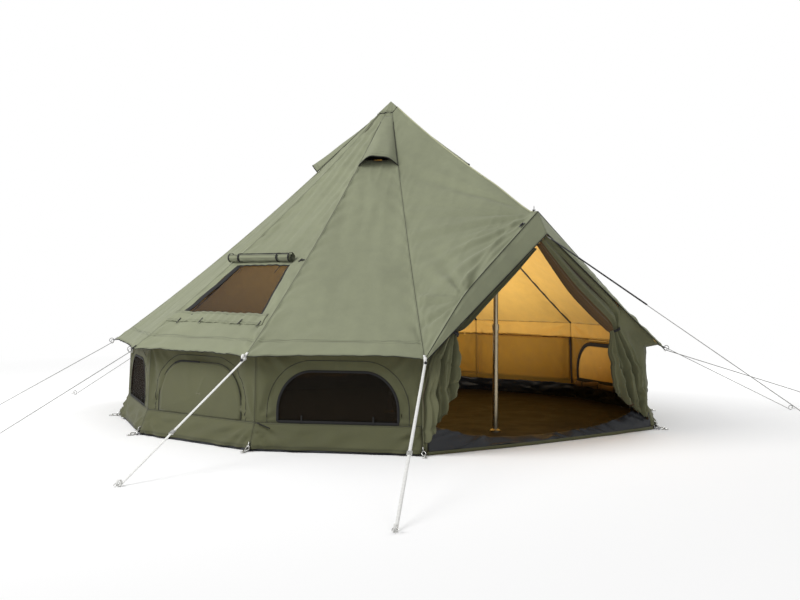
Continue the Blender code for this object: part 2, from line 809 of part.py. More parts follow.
def make_sill(tub_cloth, parts):
    """The door's share of the tub wall, high at the posts and sagging low between them."""
    half = BASE_RADIUS * math.sin(math.radians(DOOR_BEARING)) - SILL_END_GAP
    line = -BASE_RADIUS * math.cos(math.radians(DOOR_BEARING)) - 2 * GAP
    rows = []
    for j in range(SILL_ROWS + 1):
        rise = j / SILL_ROWS
        row = []
        for i in range(SILL_COLUMNS + 1):
            across = 2 * i / SILL_COLUMNS - 1
            height = SILL_MIDDLE_HEIGHT + (SILL_CORNER_HEIGHT - SILL_MIDDLE_HEIGHT) * abs(across) ** 3
            bow = SILL_BOW * (1 - across**2)
            row.append(
                Vector((across * half, line - bow + SILL_LEAN * rise**2, height * rise))
            )
        rows.append(row)
    sheet("door_sill", rows, SILL_THICKNESS, Vector((0.0, -1.0, 0.0)), tub_cloth, parts)


# Poles

def lower_pole(name, place, height, finish, parts):
    """A tube with a broad foot and, at its top, a collar that grips the upper tube."""
    profile = (
        (0.0, POLE_FOOT_HEIGHT),
        (LOWER_POLE_BORE, POLE_FOOT_HEIGHT),
        (LOWER_POLE_BORE, height),
        (COLLAR_RADIUS, height),
        (COLLAR_RADIUS, height - COLLAR_HEIGHT),
        (LOWER_POLE_RADIUS, height - COLLAR_HEIGHT),
        (LOWER_POLE_RADIUS, 2 * POLE_FOOT_HEIGHT),
        (POLE_FOOT_RADIUS, POLE_FOOT_HEIGHT),
        (POLE_FOOT_RADIUS, 0.0),
        (0.0, 0.0),
    )
    return turned(name, profile, place, finish, parts)


def upper_pole(name, place, bottom, top, tip_radius, finish, parts):
    """A tube that is open below and ends in a tapered plug, which carries the cloth."""
    shoulder = top - POLE_TIP_HEIGHT
    bore = UPPER_POLE_RADIUS - UPPER_POLE_WALL
    profile = (
        (0.0, top),
        (tip_radius, top),
        (UPPER_POLE_RADIUS, shoulder),
        (UPPER_POLE_RADIUS, bottom),
        (bore, bottom),
        (bore, shoulder),
        (0.0, shoulder),
    )
    return turned(name, profile, place, finish, parts)


def make_poles(steel, parts):
    floor = FLOOR_THICKNESS + GAP
    tip_share = CAP_TOP_RADIUS / EAVE_RADIUS
    top = hip_height(tip_share) - GAP
    centre = Vector((0.0, 0.0, floor))
    lower_pole("centre_pole_lower", centre, CENTRE_POLE_SPLIT, steel, parts)
    bottom = CENTRE_POLE_SPLIT - CENTRE_POLE_OVERLAP
    upper_pole("centre_pole_upper", centre, bottom, top - floor, CAP_TOP_RADIUS, steel, parts)
    share = FRONT_POLE_Y / PEAK_Y
    side_fall = math.tan(math.radians(RIDGE_FOLD / 2))
    ridge_fall = (APEX_HEIGHT - PEAK_HEIGHT) / abs(PEAK_Y)
    under = CLOTH * math.hypot(1.0, side_fall) + POLE_TIP_RADIUS * (side_fall + ridge_fall)
    top = ridge_point(share).z - under - fold_inset(RIDGE_FOLD) * side_fall
    front = Vector((0.0, FRONT_POLE_Y, floor))
    lower_pole("front_pole_lower", front, FRONT_POLE_SPLIT, steel, parts)
    bottom = FRONT_POLE_SPLIT - FRONT_POLE_OVERLAP
    upper_pole("front_pole_upper", front, bottom, top - floor, POLE_TIP_RADIUS, steel, parts)


# Door frame

def spike_place():
    return Vector((0.0, PEAK_Y + FRAME_SET_BACK, PEAK_HEIGHT))


def rounded(points, radius, steps):
    """A chain of points with each inner corner turned into an arc of about that radius."""
    chain = [points[0]]
    for before, corner, after in zip(points, points[1:], points[2:]):
        into, out = (before - corner).normalized(), (after - corner).normalized()
        reach = radius / math.tan(into.angle(out) / 2)
        start, end = corner + into * reach, corner + out * reach
        for i in range(steps + 1):
            step = i / steps
            chain.append(start.lerp(corner, step).lerp(corner.lerp(end, step), step))
    chain.append(points[-1])
    return chain


def make_door_frame(steel, parts, cutters):
    """Two legs and two rafters of one bent tube, with a spike that pins the porch peak."""
    knee = hip_point(DOOR_BEARING, 1.0).lerp(PEAK, FRAME_KNEE_SHARE)
    inside = Vector((0.0, FRAME_SET_BACK, -FRAME_KNEE_DROP))
    foot = Vector((FRAME_FOOT_X, FRAME_FOOT_Y, FLOOR_THICKNESS + GAP))
    leg = (knee + inside - foot).normalized()
    foot.z += FRAME_RADIUS * math.hypot(leg.x, leg.y)
    top = spike_place() - UP * FRAME_DROP
    path = [foot, knee + inside, top, mirrored(knee + inside), mirrored(foot)]
    path = rounded(path, FRAME_CORNER_RADIUS, FRAME_CORNER_POINTS)
    frame = as_mesh(tube("door_frame", path, 2 * FRAME_RADIUS, steel, parts))
    frame.data.materials.append(steel)
    mesh = bmesh.new()
    depth = SPIKE_HEIGHT + 2 * FRAME_DROP
    bmesh.ops.create_cone(
        mesh,
        cap_ends=True,
        segments=ROUND_SIDES // 2,
        radius1=SPIKE_RADIUS,
        radius2=SPIKE_RADIUS / 2,
        depth=depth,
        matrix=Matrix.Translation(spike_place() + UP * (SPIKE_HEIGHT - depth / 2)),
    )
    data = bpy.data.meshes.new("spike")
    mesh.to_mesh(data)
    mesh.free()
    spike = as_cutter(new_object("spike", data, None, cutters))
    boolean(frame, spike, "UNION")


# Door flaps

# Each station of a flap is (inner edge's distance from the door's middle, its height, the
# outer edge's two, depth of the folds), from the top of the opening down to the hem. They
# follow how a hand-gathered flap hangs: a rolled bundle, a tie, then a flared skirt.
LEFT_FLAP = (
    (0.100, 1.510, 0.150, 1.562, 0.010),
    (0.360, 1.295, 0.420, 1.362, 0.014),
    (0.630, 1.090, 0.700, 1.156, 0.017),
    (0.850, 0.925, 0.920, 0.950, 0.017),
    (0.950, 0.880, 1.020, 0.885, 0.014),
    (0.935, 0.790, 1.100, 0.790, 0.024),
    (0.930, 0.690, 1.150, 0.650, 0.026),
    (0.935, 0.600, 1.180, 0.450, 0.026),
    (0.940, 0.540, 1.190, 0.280, 0.026),
    (0.946, 0.490, 1.195, 0.130, 0.022),
)
RIGHT_FLAP = (
    (0.030, 1.550, 0.080, 1.610, 0.010),
    (0.260, 1.200, 0.340, 1.260, 0.017),
    (0.460, 1.010, 0.550, 1.070, 0.018),
    (0.650, 0.870, 0.730, 0.930, 0.017),
    (0.700, 0.830, 0.780, 0.850, 0.014),
    (0.695, 0.700, 0.900, 0.740, 0.024),
    (0.715, 0.560, 1.010, 0.590, 0.026),
    (0.745, 0.430, 1.060, 0.420, 0.026),
    (0.790, 0.330, 1.090, 0.270, 0.026),
    (0.860, 0.260, 1.100, 0.140, 0.022),
)


def smooth_values(table, steps):
    """Rows of values read from a smooth curve through a table's rows."""
    spans = len(table) - 1
    values = []
    for i in range(steps + 1):
        at = spans * i / steps
        k = min(int(at), spans - 1)
        u = at - k
        around = [table[min(max(k + j, 0), spans)] for j in (-1, 0, 1, 2)]
        row = []
        for a, b, c, d in zip(*around):
            row.append(
                b + 0.5 * u * (c - a + u * (2 * a - 5 * b + 4 * c - d + u * (3 * (b - c) + d - a)))
            )
        values.append(row)
    return values


def make_door_flap(name, table, sign, canvas, parts):
    """A gathered flap: rolled folds under the porch edge, tied, then a flared skirt."""
    corner = hip_point(sign * DOOR_BEARING, 1.0)
    columns = FLAP_PLEATS * FLAP_PLEAT_COLUMNS
    rows = []
    for inner_x, inner_z, outer_x, outer_z, depth in smooth_values(table, FLAP_ROWS):
        place = min(1.0, (inner_x + outer_x) / 2 / abs(corner.x))
        line = OPENING_TOP.lerp(corner, place).y + FLAP_STAND_OFF
        row = []
        for i in range(columns + 1):
            across = i / columns
            fold = math.cos(2 * math.pi * FLAP_PLEATS * across)
            x = inner_x + (outer_x - inner_x) * across
            z = inner_z + (outer_z - inner_z) * across
            row.append(Vector((sign * x, line + depth * fold, z)))
        rows.append(row)
    sheet(name, rows, FLAP_THICKNESS, Vector((0.0, -1.0, 0.0)), canvas, parts)


# Guy lines

def guy_chain(start, end, thickness):
    """A line with an eye at each end, in the upright plane through its two eye centres."""
    along = (end - start).normalized()
    level = Vector((along.x, along.y, 0.0)).normalized()
    below = (UP * -1 + along * along.z).normalized()
    open_angle = math.acos(1 - (thickness + EYE_CLEARANCE) / EYE_RADIUS)

    def around(centre, first, last):
        chain = []
        for i in range(EYE_POINTS + 1):
            turn = first + (last - first) * i / EYE_POINTS
            chain.append(centre + (below * math.cos(turn) + along * math.sin(turn)) * EYE_RADIUS)
        return chain

    chain = around(start, open_angle - 2 * math.pi, 0.0)
    run = end - start
    for i in range(1, GUY_SPANS):
        chain.append(start + below * EYE_RADIUS + run * (i / GUY_SPANS))
    chain += around(end, 0.0, 2 * math.pi - open_angle)
    return chain, along, level, below


def strap(name, chain, along, side, finish, parts):
    """A flat webbing strap along a chain of points, its width towards side."""
    rows = []
    for point in chain:
        rows.append([point - side * (STRAP_WIDTH / 2), point + side * (STRAP_WIDTH / 2)])
    made = new_object(name, grid_mesh(name, rows, UP), finish, parts)
    solid = made.modifiers.new("Thickness", "SOLIDIFY")
    solid.thickness = STRAP_THICKNESS
    solid.offset = 0.0
    solid.use_even_offset = True
    return made


def eye_at_tip(bearing, thickness):
    """The eye's centre just outside an eave's tip, clear of the porch band at the door."""
    reach = EYE_RADIUS + thickness / 2 - EYE_SEAT
    if abs(bearing) == DOOR_BEARING:
        reach += DOOR_EYE_SHIFT
    return hip_point(bearing, 1.0) + outward(bearing) * reach - UP * (CLOTH / 2)


def make_guys(webbing, cord, steel, parts, cutters):
    ground = EYE_RADIUS + GROUND_CLEARANCE
    for k in range(1, SIDES):
        bearing = k * SIDE_TURN if k <= SIDES // 2 else k * SIDE_TURN - 360.0
        hand = "rear" if k == SIDES // 2 else ("right" if bearing > 0 else "left")
        number = round(abs(bearing) / SIDE_TURN)
        name = "guy_rear" if hand == "rear" else f"guy_{hand}_{number}"
        side = 1 if bearing > 0 else -1
        if number == 1:
            peg = Vector((side * DOOR_PEG_X, DOOR_PEG_Y, 0.0))
        elif number == 2:
            peg = outward(bearing) * SHOULDER_PEG_RADIUS
        else:
            peg = outward(bearing) * (REAR_PEG_RADIUS if bearing > 0 else GUY_PEG_RADIUS)
        flat = bearing in (-SIDE_TURN, -2 * SIDE_TURN)
        thickness = STRAP_THICKNESS if flat else CORD_DIAMETER
        start = eye_at_tip(bearing, thickness)
        end = peg + UP * (ground + thickness / 2)
        chain, along, level, below = guy_chain(start, end, thickness)
        if not flat:
            tube(name, chain, CORD_DIAMETER, cord, parts)
            continue
        across = level.cross(UP)
        strap(name, chain, along, across, webbing, parts)
        middle = start + below * EYE_RADIUS + (end - start) * SLIDER_PLACE_SHARE
        place = frame_at(middle, across, along, across.cross(along))
        size = (SLIDER_WIDTH, SLIDER_LENGTH, SLIDER_THICKNESS)
        slider = box_between(f"guy_slider_left_{number}", size, place, steel, parts)
        hole = (
            STRAP_WIDTH + 2 * SLIDER_CLEARANCE,
            SLIDER_LENGTH + 2 * OVERRUN,
            STRAP_THICKNESS + 2 * SLIDER_CLEARANCE,
        )
        slot = box_between(f"slider_slot_{number}", hole, place, None, cutters)
        boolean(slider, as_cutter(slot))
    thickness = CORD_DIAMETER
    ahead = (OPENING_TOP - PEAK).cross(Vector((-1.0, 0.0, 0.0))).normalized()
    start = PEAK.lerp(OPENING_TOP, PEAK_EYE_SHARE)
    start += ahead * (EYE_RADIUS + thickness / 2 + 8 * GAP)
    end = Vector((0.0, PEAK_PEG_Y, ground + thickness / 2))
    chain = guy_chain(start, end, thickness)[0]
    tube("guy_peak", chain, CORD_DIAMETER, cord, parts)


def main():
    for old in list(bpy.data.objects):
        bpy.data.objects.remove(old)
    parts = bpy.data.collections.new("bell_tent")
    cutters = bpy.data.collections.new("cutters")
    for home in (parts, cutters):
        bpy.context.scene.collection.children.link(home)
    canvas = material("olive canvas", (0.24, 0.25, 0.16), 0.9)
    wall_canvas = material("dark olive canvas", (0.13, 0.14, 0.085), 0.9)
    roof_mesh = material("amber window mesh", (0.12, 0.08, 0.05), 0.8)
    black_mesh = material("black insect mesh", (0.02, 0.02, 0.02), 0.8)
    flue_cloth = material("heat-proof glass cloth", (0.35, 0.35, 0.35), 0.6)
    brown_floor = material("brown coated floor", (0.075, 0.045, 0.028), 0.7)
    black_tub = material("black coated cloth", (0.02, 0.02, 0.021), 0.5)
    steel = material("galvanised steel", (0.45, 0.43, 0.38), 0.35, 1.0)
    webbing = material("white webbing", (0.75, 0.75, 0.72), 0.8)
    cord = material("grey cord", (0.35, 0.35, 0.35), 0.8)
    make_roof(canvas, parts, cutters)
    make_cap(canvas, parts)
    make_porch(canvas, parts, cutters)
    make_vents(canvas, parts)
    make_roof_window(roof_mesh, canvas, parts)
    make_walls(wall_canvas, black_mesh, parts, cutters)
    make_flue(flue_cloth, canvas, parts, cutters)
    make_floor(brown_floor, black_tub, parts)
    make_sill(black_tub, parts)
    make_poles(steel, parts)
    make_door_frame(steel, parts, cutters)
    make_door_flap("door_flap_left", LEFT_FLAP, -1, wall_canvas, parts)
    make_door_flap("door_flap_right", RIGHT_FLAP, 1, wall_canvas, parts)
    make_guys(webbing, cord, steel, parts, cutters)


main()
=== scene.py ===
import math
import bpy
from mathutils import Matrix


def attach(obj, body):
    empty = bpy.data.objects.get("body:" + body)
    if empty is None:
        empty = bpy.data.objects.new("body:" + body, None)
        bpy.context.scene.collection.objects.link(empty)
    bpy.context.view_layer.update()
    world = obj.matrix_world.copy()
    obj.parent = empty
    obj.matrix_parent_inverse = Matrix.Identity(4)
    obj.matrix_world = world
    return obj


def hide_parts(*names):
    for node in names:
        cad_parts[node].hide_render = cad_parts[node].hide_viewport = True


bl_info = {
    "name": "Bell tent",
    "version": (1, 0, 0),
    "blender": (4, 5, 0),
    "location": "3D View > Sidebar > Bell tent",
    "description": "Builds the cloth, trim and fittings of a bell tent around its packed frame",
    "category": "Add Mesh",
}

import bpy
import numpy as np
from bpy.props import FloatProperty, FloatVectorProperty, PointerProperty
from mathutils import Matrix

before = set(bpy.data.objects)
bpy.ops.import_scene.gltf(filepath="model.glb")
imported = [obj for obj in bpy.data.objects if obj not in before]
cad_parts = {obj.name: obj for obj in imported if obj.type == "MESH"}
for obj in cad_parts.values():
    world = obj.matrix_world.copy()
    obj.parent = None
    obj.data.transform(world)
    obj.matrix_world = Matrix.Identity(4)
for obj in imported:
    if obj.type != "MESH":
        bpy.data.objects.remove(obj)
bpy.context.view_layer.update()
SHELTER = "shelter"

# Lengths are in metres. A bearing is in degrees from the door, positive to its right.
SIDE_TURN = 30.0
HALF_SIDE = math.radians(SIDE_TURN / 2)
HEM_HEIGHT = 0.045
SEAM_RADIUS = 2.4375
SEAM_HEIGHT = 0.205
WALL_TOP_RADIUS = 2.4085
CLOTH = 0.0025
GAP = 0.0003
UP = np.array([0.0, 0.0, 1.0])
# The brown lining below is the amber lining darkened to paint shade, for lining that lies in shade.
AMBER, DEEP_AMBER, SHADED_LINING = "roof lining, amber", "wall lining, deep amber", "door lining, brown"
ROOF, WALL, DOOR = "roof canvas, sun-faded", "wall canvas, olive", "door canvas, olive"
TUB = "tub cloth, black coated"
BLACK_TAPE, BROWN_TAPE, WHITE_TAPE = "binding tape, black", "seam tape, dark brown", "webbing, white"
PIPING, WIRE, NYLON = "piping, dark olive", "wire, zinc plated", "toggle, black nylon"


def linear(hex_colour):
    """An sRGB hex colour as linear red, green, blue and alpha."""
    parts = np.array([int(hex_colour[i : i + 2], 16) for i in (0, 2, 4)]) / 255
    low, high = parts / 12.92, ((parts + 0.055) / 1.055) ** 2.4
    return (*np.where(parts <= 0.04045, low, high).tolist(), 1.0)


def length(name, description, default):
    """A size in metres that the sidebar shows."""
    return FloatProperty(name=name, description=description, default=default, unit="LENGTH")


def colour(name, description, default):
    """A colour that the sidebar shows, given as sRGB hex."""
    settings = {"default": linear(default), "subtype": "COLOR", "size": 4, "min": 0.0, "max": 1.0}
    return FloatVectorProperty(name=name, description=description, **settings)


class TentShape(bpy.types.PropertyGroup):
    """The sizes that the cloth is worked out from."""

    base_radius: length("Base radius", "From the middle to a pegged corner", 2.5)
    eave_radius: length("Eave radius", "From the middle to a tip of the eave", 2.567)
    eave_height: length("Eave height", "Height of the eave's tips", 0.703)
    apex_height: length("Apex height", "Where the lines of the roof meet", 2.963)
    hip_sag: length("Hip sag", "How far a hip sags under a straight line", 0.09)
    eave_scallop: length("Eave scallop", "How far the eave is cut in between its tips", 0.018)
    peak_reach: length("Peak reach", "From the middle out to the porch peak", 2.02)
    peak_height: length("Peak height", "Height of the porch peak", 1.8225)
    ridge_sag: length("Ridge sag", "How far the ridge sags", 0.06)
    opening_reach: length("Opening reach", "From the middle out to the top of the door", 2.13)
    opening_height: length("Opening height", "Height of the top of the door", 1.64)


class TentColours(bpy.types.PropertyGroup):
    """The colours of the cloth and fittings."""

    # The roof's olive is set lighter than the walls'.
    roof: colour("Roof", "Sun-faded olive of the roof", "7D8168")
    wall: colour("Walls", "Olive of the walls and flaps", "535439")
    lining: colour("Lining", "Amber of the cloth's inner face", "CDA450")
    wall_lining: colour("Wall lining", "Deeper amber of the walls' inner face", "8E6A1D")
    tub: colour("Tub", "Black coated cloth", "181B20")
    floor: colour("Floor", "Brown coated floor", "1B1510")
    webbing: colour("Webbing", "White webbing", "DFDFDC")
    cord: colour("Cord", "Grey guy cord", "8C8C8A")


def shape():
    """The sizes as the scene holds them."""
    return bpy.context.scene.tent_shape


# Arrays and curves


def directions(bearing):
    """Unit vectors outwards and sideways at a bearing, as arrays."""
    angle = np.radians(np.asarray(bearing, float))
    zero = np.zeros_like(angle)
    out = np.stack([np.sin(angle), -np.cos(angle), zero], -1)
    return out, np.stack([np.cos(angle), np.sin(angle), zero], -1)


def unit(vectors):
    """Vectors divided by their own length."""
    size = np.linalg.norm(vectors, axis=-1, keepdims=True)
    return vectors / np.maximum(size, 1e-12)


def lerp(start, end, part):
    """From start at 0 to end at 1, in a straight line."""
    return start + (end - start) * part


def smooth_step(values, low, high):
    """0 below low and 1 above high, with the cubic 3t^2 - 2t^3 between."""
    t = np.clip((values - low) / (high - low), 0.0, 1.0)
    return t * t * (3 - 2 * t)


def bump_at(values, centre, width):
    """A bell curve, exp(-((v - centre) / width)^2)."""
    return np.exp(-(((values - centre) / width) ** 2))


def ripples(u, v, size, seed, count=6):
    """Soft waves: a sum of sines of about that size that run in random directions."""
    rng = np.random.default_rng(seed)
    total = 0.0
    for _ in range(count):
        angle, phase = rng.uniform(0, 2 * math.pi, 2)
        rate = 2 * math.pi / size * rng.uniform(0.6, 1.6)
        total = total + np.sin(rate * (u * math.cos(angle) + v * math.sin(angle)) + phase)
    return total / math.sqrt(count)


def creases(u, v, size, seed, sharp=0.3):
    """Thin ridges where soft waves cross zero: exp(-(wave / sharp)^2)."""
    return np.exp(-((ripples(u, v, size, seed, 4) / sharp) ** 2))


def fan(du, dv, count, reach, seed):
    """Pleats that run out from a corner: sines of the angle round it, fading with distance."""
    rng = np.random.default_rng(seed)
    first, second = rng.uniform(0, 2 * math.pi, 2)
    away, angle = np.hypot(du, dv), np.arctan2(dv, du)
    wave = np.sin(count * angle + first) + 0.6 * np.sin(1.7 * count * angle + second)
    near = away / reach
    return wave * near * np.exp(1 - near * 1.6)


def smooth_curve(points, steps):
    """A Catmull-Rom curve through the points, with that many steps in each span."""
    points = np.asarray(points, float)
    padded = np.vstack([points[:1], points, points[-1:]])
    a, b, c, d = (padded[i : len(padded) - 3 + i, None] for i in range(4))
    u = (np.arange(steps) / steps)[None, :, None]
    inner = 3 * (b - c) + d - a
    curve = b + 0.5 * u * (c - a + u * (2 * a - 5 * b + 4 * c - d + u * inner))
    return np.vstack([curve.reshape(-1, points.shape[1]), points[-1:]])


def even_line(line, count, closed=False):
    """The same line with evenly spaced points."""
    if closed:
        line = np.vstack([line, line[:1]])
    run = run_along(line)
    place = np.linspace(0, run[-1], count, endpoint=not closed)
    return np.stack([np.interp(place, run, line[:, i]) for i in range(line.shape[1])], -1)


def run_along(line):
    """The distance of each point of a line from its first, along the line."""
    return np.concatenate([[0.0], np.cumsum(np.linalg.norm(np.diff(line, axis=0), axis=-1))])


def joined(parts):
    """Grids side by side in one, each without the first column, which the one before has."""
    return np.concatenate([parts[0]] + [part[:, 1:] for part in parts[1:]], 1)


def grid_normals(grid, centre):
    """Unit normals of a grid of points, on the side away from centre."""
    normal = unit(np.cross(np.gradient(grid, axis=1), np.gradient(grid, axis=0)))
    return normal * np.where(((grid - centre) * normal).sum() < 0, -1.0, 1.0)


def sheet_area(grid, keep=None):
    """The area of a grid of points, from the cross product of each face's diagonals."""
    a, b = grid[1:, 1:] - grid[:-1, :-1], grid[1:, :-1] - grid[:-1, 1:]
    area = np.linalg.norm(np.cross(a, b), axis=-1) / 2
    return float((area if keep is None else area * keep).sum())


# Making pieces


def grid_faces(rows, columns, closed_rows=False, closed_columns=False):
    """Four corner numbers of each face of a grid, joined round where it is closed."""
    index = np.arange(rows * columns).reshape(rows, columns)
    if closed_rows:
        index = np.vstack([index, index[:1]])
    if closed_columns:
        index = np.hstack([index, index[:, :1]])
    corners = (index[:-1, :-1], index[:-1, 1:], index[1:, 1:], index[1:, :-1])
    return np.stack(corners, -1).reshape(-1, 4)


def new_mesh(name, points, faces, finishes, uv=None, seam=None):
    """An object at the origin from arrays of points, four-cornered faces and UVs per point. Its
    seam value is the distance to the nearest seam, and a metre where there is none."""
    mesh = bpy.data.meshes.new(name)
    mesh.vertices.add(len(points))
    mesh.vertices.foreach_set("co", np.ascontiguousarray(points, np.float32).ravel())
    mesh.loops.add(faces.size)
    mesh.loops.foreach_set("vertex_index", faces.ravel().astype(np.int32))
    mesh.polygons.add(len(faces))
    mesh.polygons.foreach_set("loop_start", np.arange(len(faces), dtype=np.int32) * 4)
    mesh.update(calc_edges=True)
    if uv is not None:
        layer = mesh.uv_layers.new(name="UVMap")
        layer.data.foreach_set("uv", uv[faces.ravel()].astype(np.float32).ravel())
    gap = np.ones(len(points)) if seam is None else seam
    mesh.attributes.new("seam", "FLOAT", "POINT").data.foreach_set("value", gap.astype(np.float32))
    for kind in finishes:
        mesh.materials.append(finish(kind))
    mesh.validate()
    mesh.shade_smooth()
    made = bpy.data.objects.new(name, mesh)
    bpy.context.scene.collection.objects.link(made)
    return made


def seat(piece, body, stands_for):
    """Rides a piece on its body, and hides the nodes that it stands for."""
    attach(piece, body)
    if stands_for:
        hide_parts(*stands_for.split())
    return piece


def cloth(name, grid, finishes, flat, stands_for="", body=SHELTER, area=None,
          centre=(0, 0, 1), keep=None, seam=None, thickness=0.0012, closed=False, uv=None):
    """A sheet on a grid, away from its centre, with a finish on each face and a real thickness
    inwards. It is declared with the rectangle round its cut, and with no more area than that.
    Its area and the rectangle round its cut, flat, are worked out but not used."""
    rows, columns = grid.shape[:2]
    faces = grid_faces(rows, columns, closed_columns=closed)
    if keep is not None:
        faces = faces[keep.ravel()]
    points = grid.reshape(-1, 3)
    middle = points[faces].mean(1)
    normal = np.cross(points[faces[:, 2]] - points[faces[:, 0]], points[faces[:, 3]] - points[faces[:, 1]])
    if ((middle - np.array(centre)) * normal).sum() < 0:
        faces = faces[:, ::-1]
    if uv is None:
        along = np.linalg.norm(np.diff(grid, axis=0), axis=-1)
        across = np.linalg.norm(np.diff(grid, axis=1), axis=-1)
        v = np.vstack([np.zeros((1, columns)), np.cumsum(along, 0)])
        u = np.hstack([np.zeros((rows, 1)), np.cumsum(across, 1)])
        uv = np.stack([u, v], -1)
    used = np.unique(faces)
    number = np.full(len(points), -1)
    number[used] = np.arange(len(used))
    gap = None if seam is None else np.broadcast_to(seam, (rows, columns)).reshape(-1)[used]
    outside, inside = (finishes, finishes) if isinstance(finishes, str) else finishes
    made = new_mesh(name, points[used], number[faces], (outside, inside), uv.reshape(-1, 2)[used], gap)
    solid = made.modifiers.new("Thickness", "SOLIDIFY")
    solid.thickness = thickness
    solid.offset = -1.0
    solid.material_offset = 1
    solid.material_offset_rim = 0
    seat(made, body, stands_for)
    area = sheet_area(grid, keep) if area is None else area
    min(area, flat[0] * flat[1])
    return made


def rod(radius, sides=8):
    """The round profile of a bar."""
    angle = np.arange(sides) * 2 * math.pi / sides
    return np.stack([np.cos(angle), np.sin(angle)], -1) * radius


def tape(width, thickness):
    """The profile of a flat tape with rounded edges, its foot at zero."""
    half = width / 2
    right = [(half, 0.0), (half, thickness * 0.6), (half - thickness / 2, thickness)]
    return np.array(right + [(-x, y) for x, y in reversed(right)])


def strap(width, thickness):
    """The square profile of webbing that stands on edge across its path."""
    w, t = width / 2, thickness / 2
    return np.array([(-t, -w), (t, -w), (t, w), (-t, w)])


def bar(path, profile, up_hint, closed=False, scale=None):
    """A profile of (side, up) offsets carried along a path, as a grid and whether it is closed.
    The path's up is the hint with its tangent part taken off."""
    path = np.asarray(path, float)
    if closed:
        tangent = np.roll(path, -1, 0) - np.roll(path, 1, 0)
    else:
        tangent = np.gradient(path, axis=0)
    tangent = unit(tangent)
    hint = np.broadcast_to(np.asarray(up_hint, float), path.shape)
    up = unit(hint - tangent * (hint * tangent).sum(-1, keepdims=True))
    side = np.cross(tangent, up)
    factor = np.ones(len(path)) if scale is None else scale
    wide, high = (profile[None, :, i, None] * factor[:, None, None] for i in (0, 1))
    return path[:, None] + side[:, None] * wide + up[:, None] * high, closed


def ring_path(centre, normal, radius, steps=28, flatten=1.0, start=UP):
    """A circle, or an oval where flatten isn't 1, round a normal."""
    normal, start = unit(np.asarray(normal, float)), np.asarray(start, float)
    side = unit(np.cross(normal, start if abs(normal @ unit(start)) < 0.95 else np.array([1.0, 0, 0])))
    angle = np.arange(steps)[:, None] * 2 * math.pi / steps
    ring = np.cos(angle) * side * radius + np.sin(angle) * np.cross(side, normal) * radius * flatten
    return np.asarray(centre, float) + ring


def ring(centre, normal, radius, wire, flatten=1.0, start=UP):
    """A closed bar of wire."""
    return bar(ring_path(centre, normal, radius, 28, flatten, start), rod(wire), normal, True)


def wrap(centre, normal, radius, steps, profile, flatten=1.0, start=UP):
    """A closed tape round a bundle, its flat side to the middle."""
    loop = ring_path(centre, normal, radius, steps, flatten, start)
    return bar(loop, profile, loop - centre, True)


def toggle(centre, along, off):
    """A turned toggle 34 mm long, waisted at its middle."""
    run = np.linspace(-1, 1, 13)
    waist = 1 - 0.3 * bump_at(run, 0, 0.3) - 0.5 * np.abs(run) ** 12
    path = np.asarray(centre) + unit(np.asarray(along, float)) * (run * 0.017)[:, None]
    return bar(path, rod(0.0052, 10), off, False, waist)


def trim(name, bars, kind, body=SHELTER, stands_for=""):
    """One piece of one finish from several bars. A bar that isn't closed is drawn shut at its ends."""
    points, faces, uvs, start = [], [], [], 0
    for grid, closed in bars:
        if not closed:
            ends = grid[[0, -1]]
            caps = lerp(ends.mean(1, keepdims=True), ends, 0.02)
            grid = np.concatenate([caps[:1], grid, caps[1:]])
        rows, columns = grid.shape[:2]
        part = grid_faces(rows, columns, closed, True)
        flat = grid.reshape(-1, 3)
        corner = flat[part]
        volume = (corner[:, 0] * np.cross(corner[:, 1], corner[:, 2])).sum()
        volume += (corner[:, 0] * np.cross(corner[:, 2], corner[:, 3])).sum()
        if volume < 0:
            part = part[:, ::-1]
        u, v = np.arange(columns) / columns, run_along(grid[:, 0])
        uvs.append(np.stack(np.broadcast_arrays(u[None, :], v[:, None]), -1).reshape(-1, 2))
        points.append(flat)
        faces.append(part + start)
        start += len(flat)
    piece = new_mesh(name, np.vstack(points), np.vstack(faces), (kind,), np.vstack(uvs))
    return seat(piece, body, stands_for)


# Materials


def node(tree, kind, inputs, output=0, **settings):
    """Adds one node with its settings, sets or links its inputs, which are named or in order,
    and gives the output that is asked for."""
    made = tree.nodes.new("ShaderNode" + kind)
    for key, value in settings.items():
        setattr(made, key, value)
    for key, value in inputs.items() if isinstance(inputs, dict) else enumerate(inputs):
        if isinstance(value, bpy.types.NodeSocket):
            tree.links.new(value, made.inputs[key])
        else:
            made.inputs[key].default_value = value
    return made.outputs[output] if made.outputs else None


def shade(value, factor):
    """A colour made darker or lighter, its alpha kept."""
    return (*[min(1.0, part * factor) for part in value[:3]], 1.0)


def mottle(tree, base, cloud, low, high, dark, light):
    """The base colour, darker where the cloud is under low and lighter where it is over high."""
    part = node(tree, "MapRange", (cloud, low, high, 0.0, 1.0))
    return node(tree, "Mix", {0: part, 6: shade(base, dark), 7: shade(base, light)}, 2, data_type="RGBA")


def threads(tree, pitch, direction):
    """Light and dark bands along the cloth, one for each thread of that pitch."""
    place = node(tree, "TexCoord", {}, "UV")
    return node(tree, "TexWave", {"Vector": place, "Scale": 0.314 / pitch}, "Fac", bands_direction=direction)


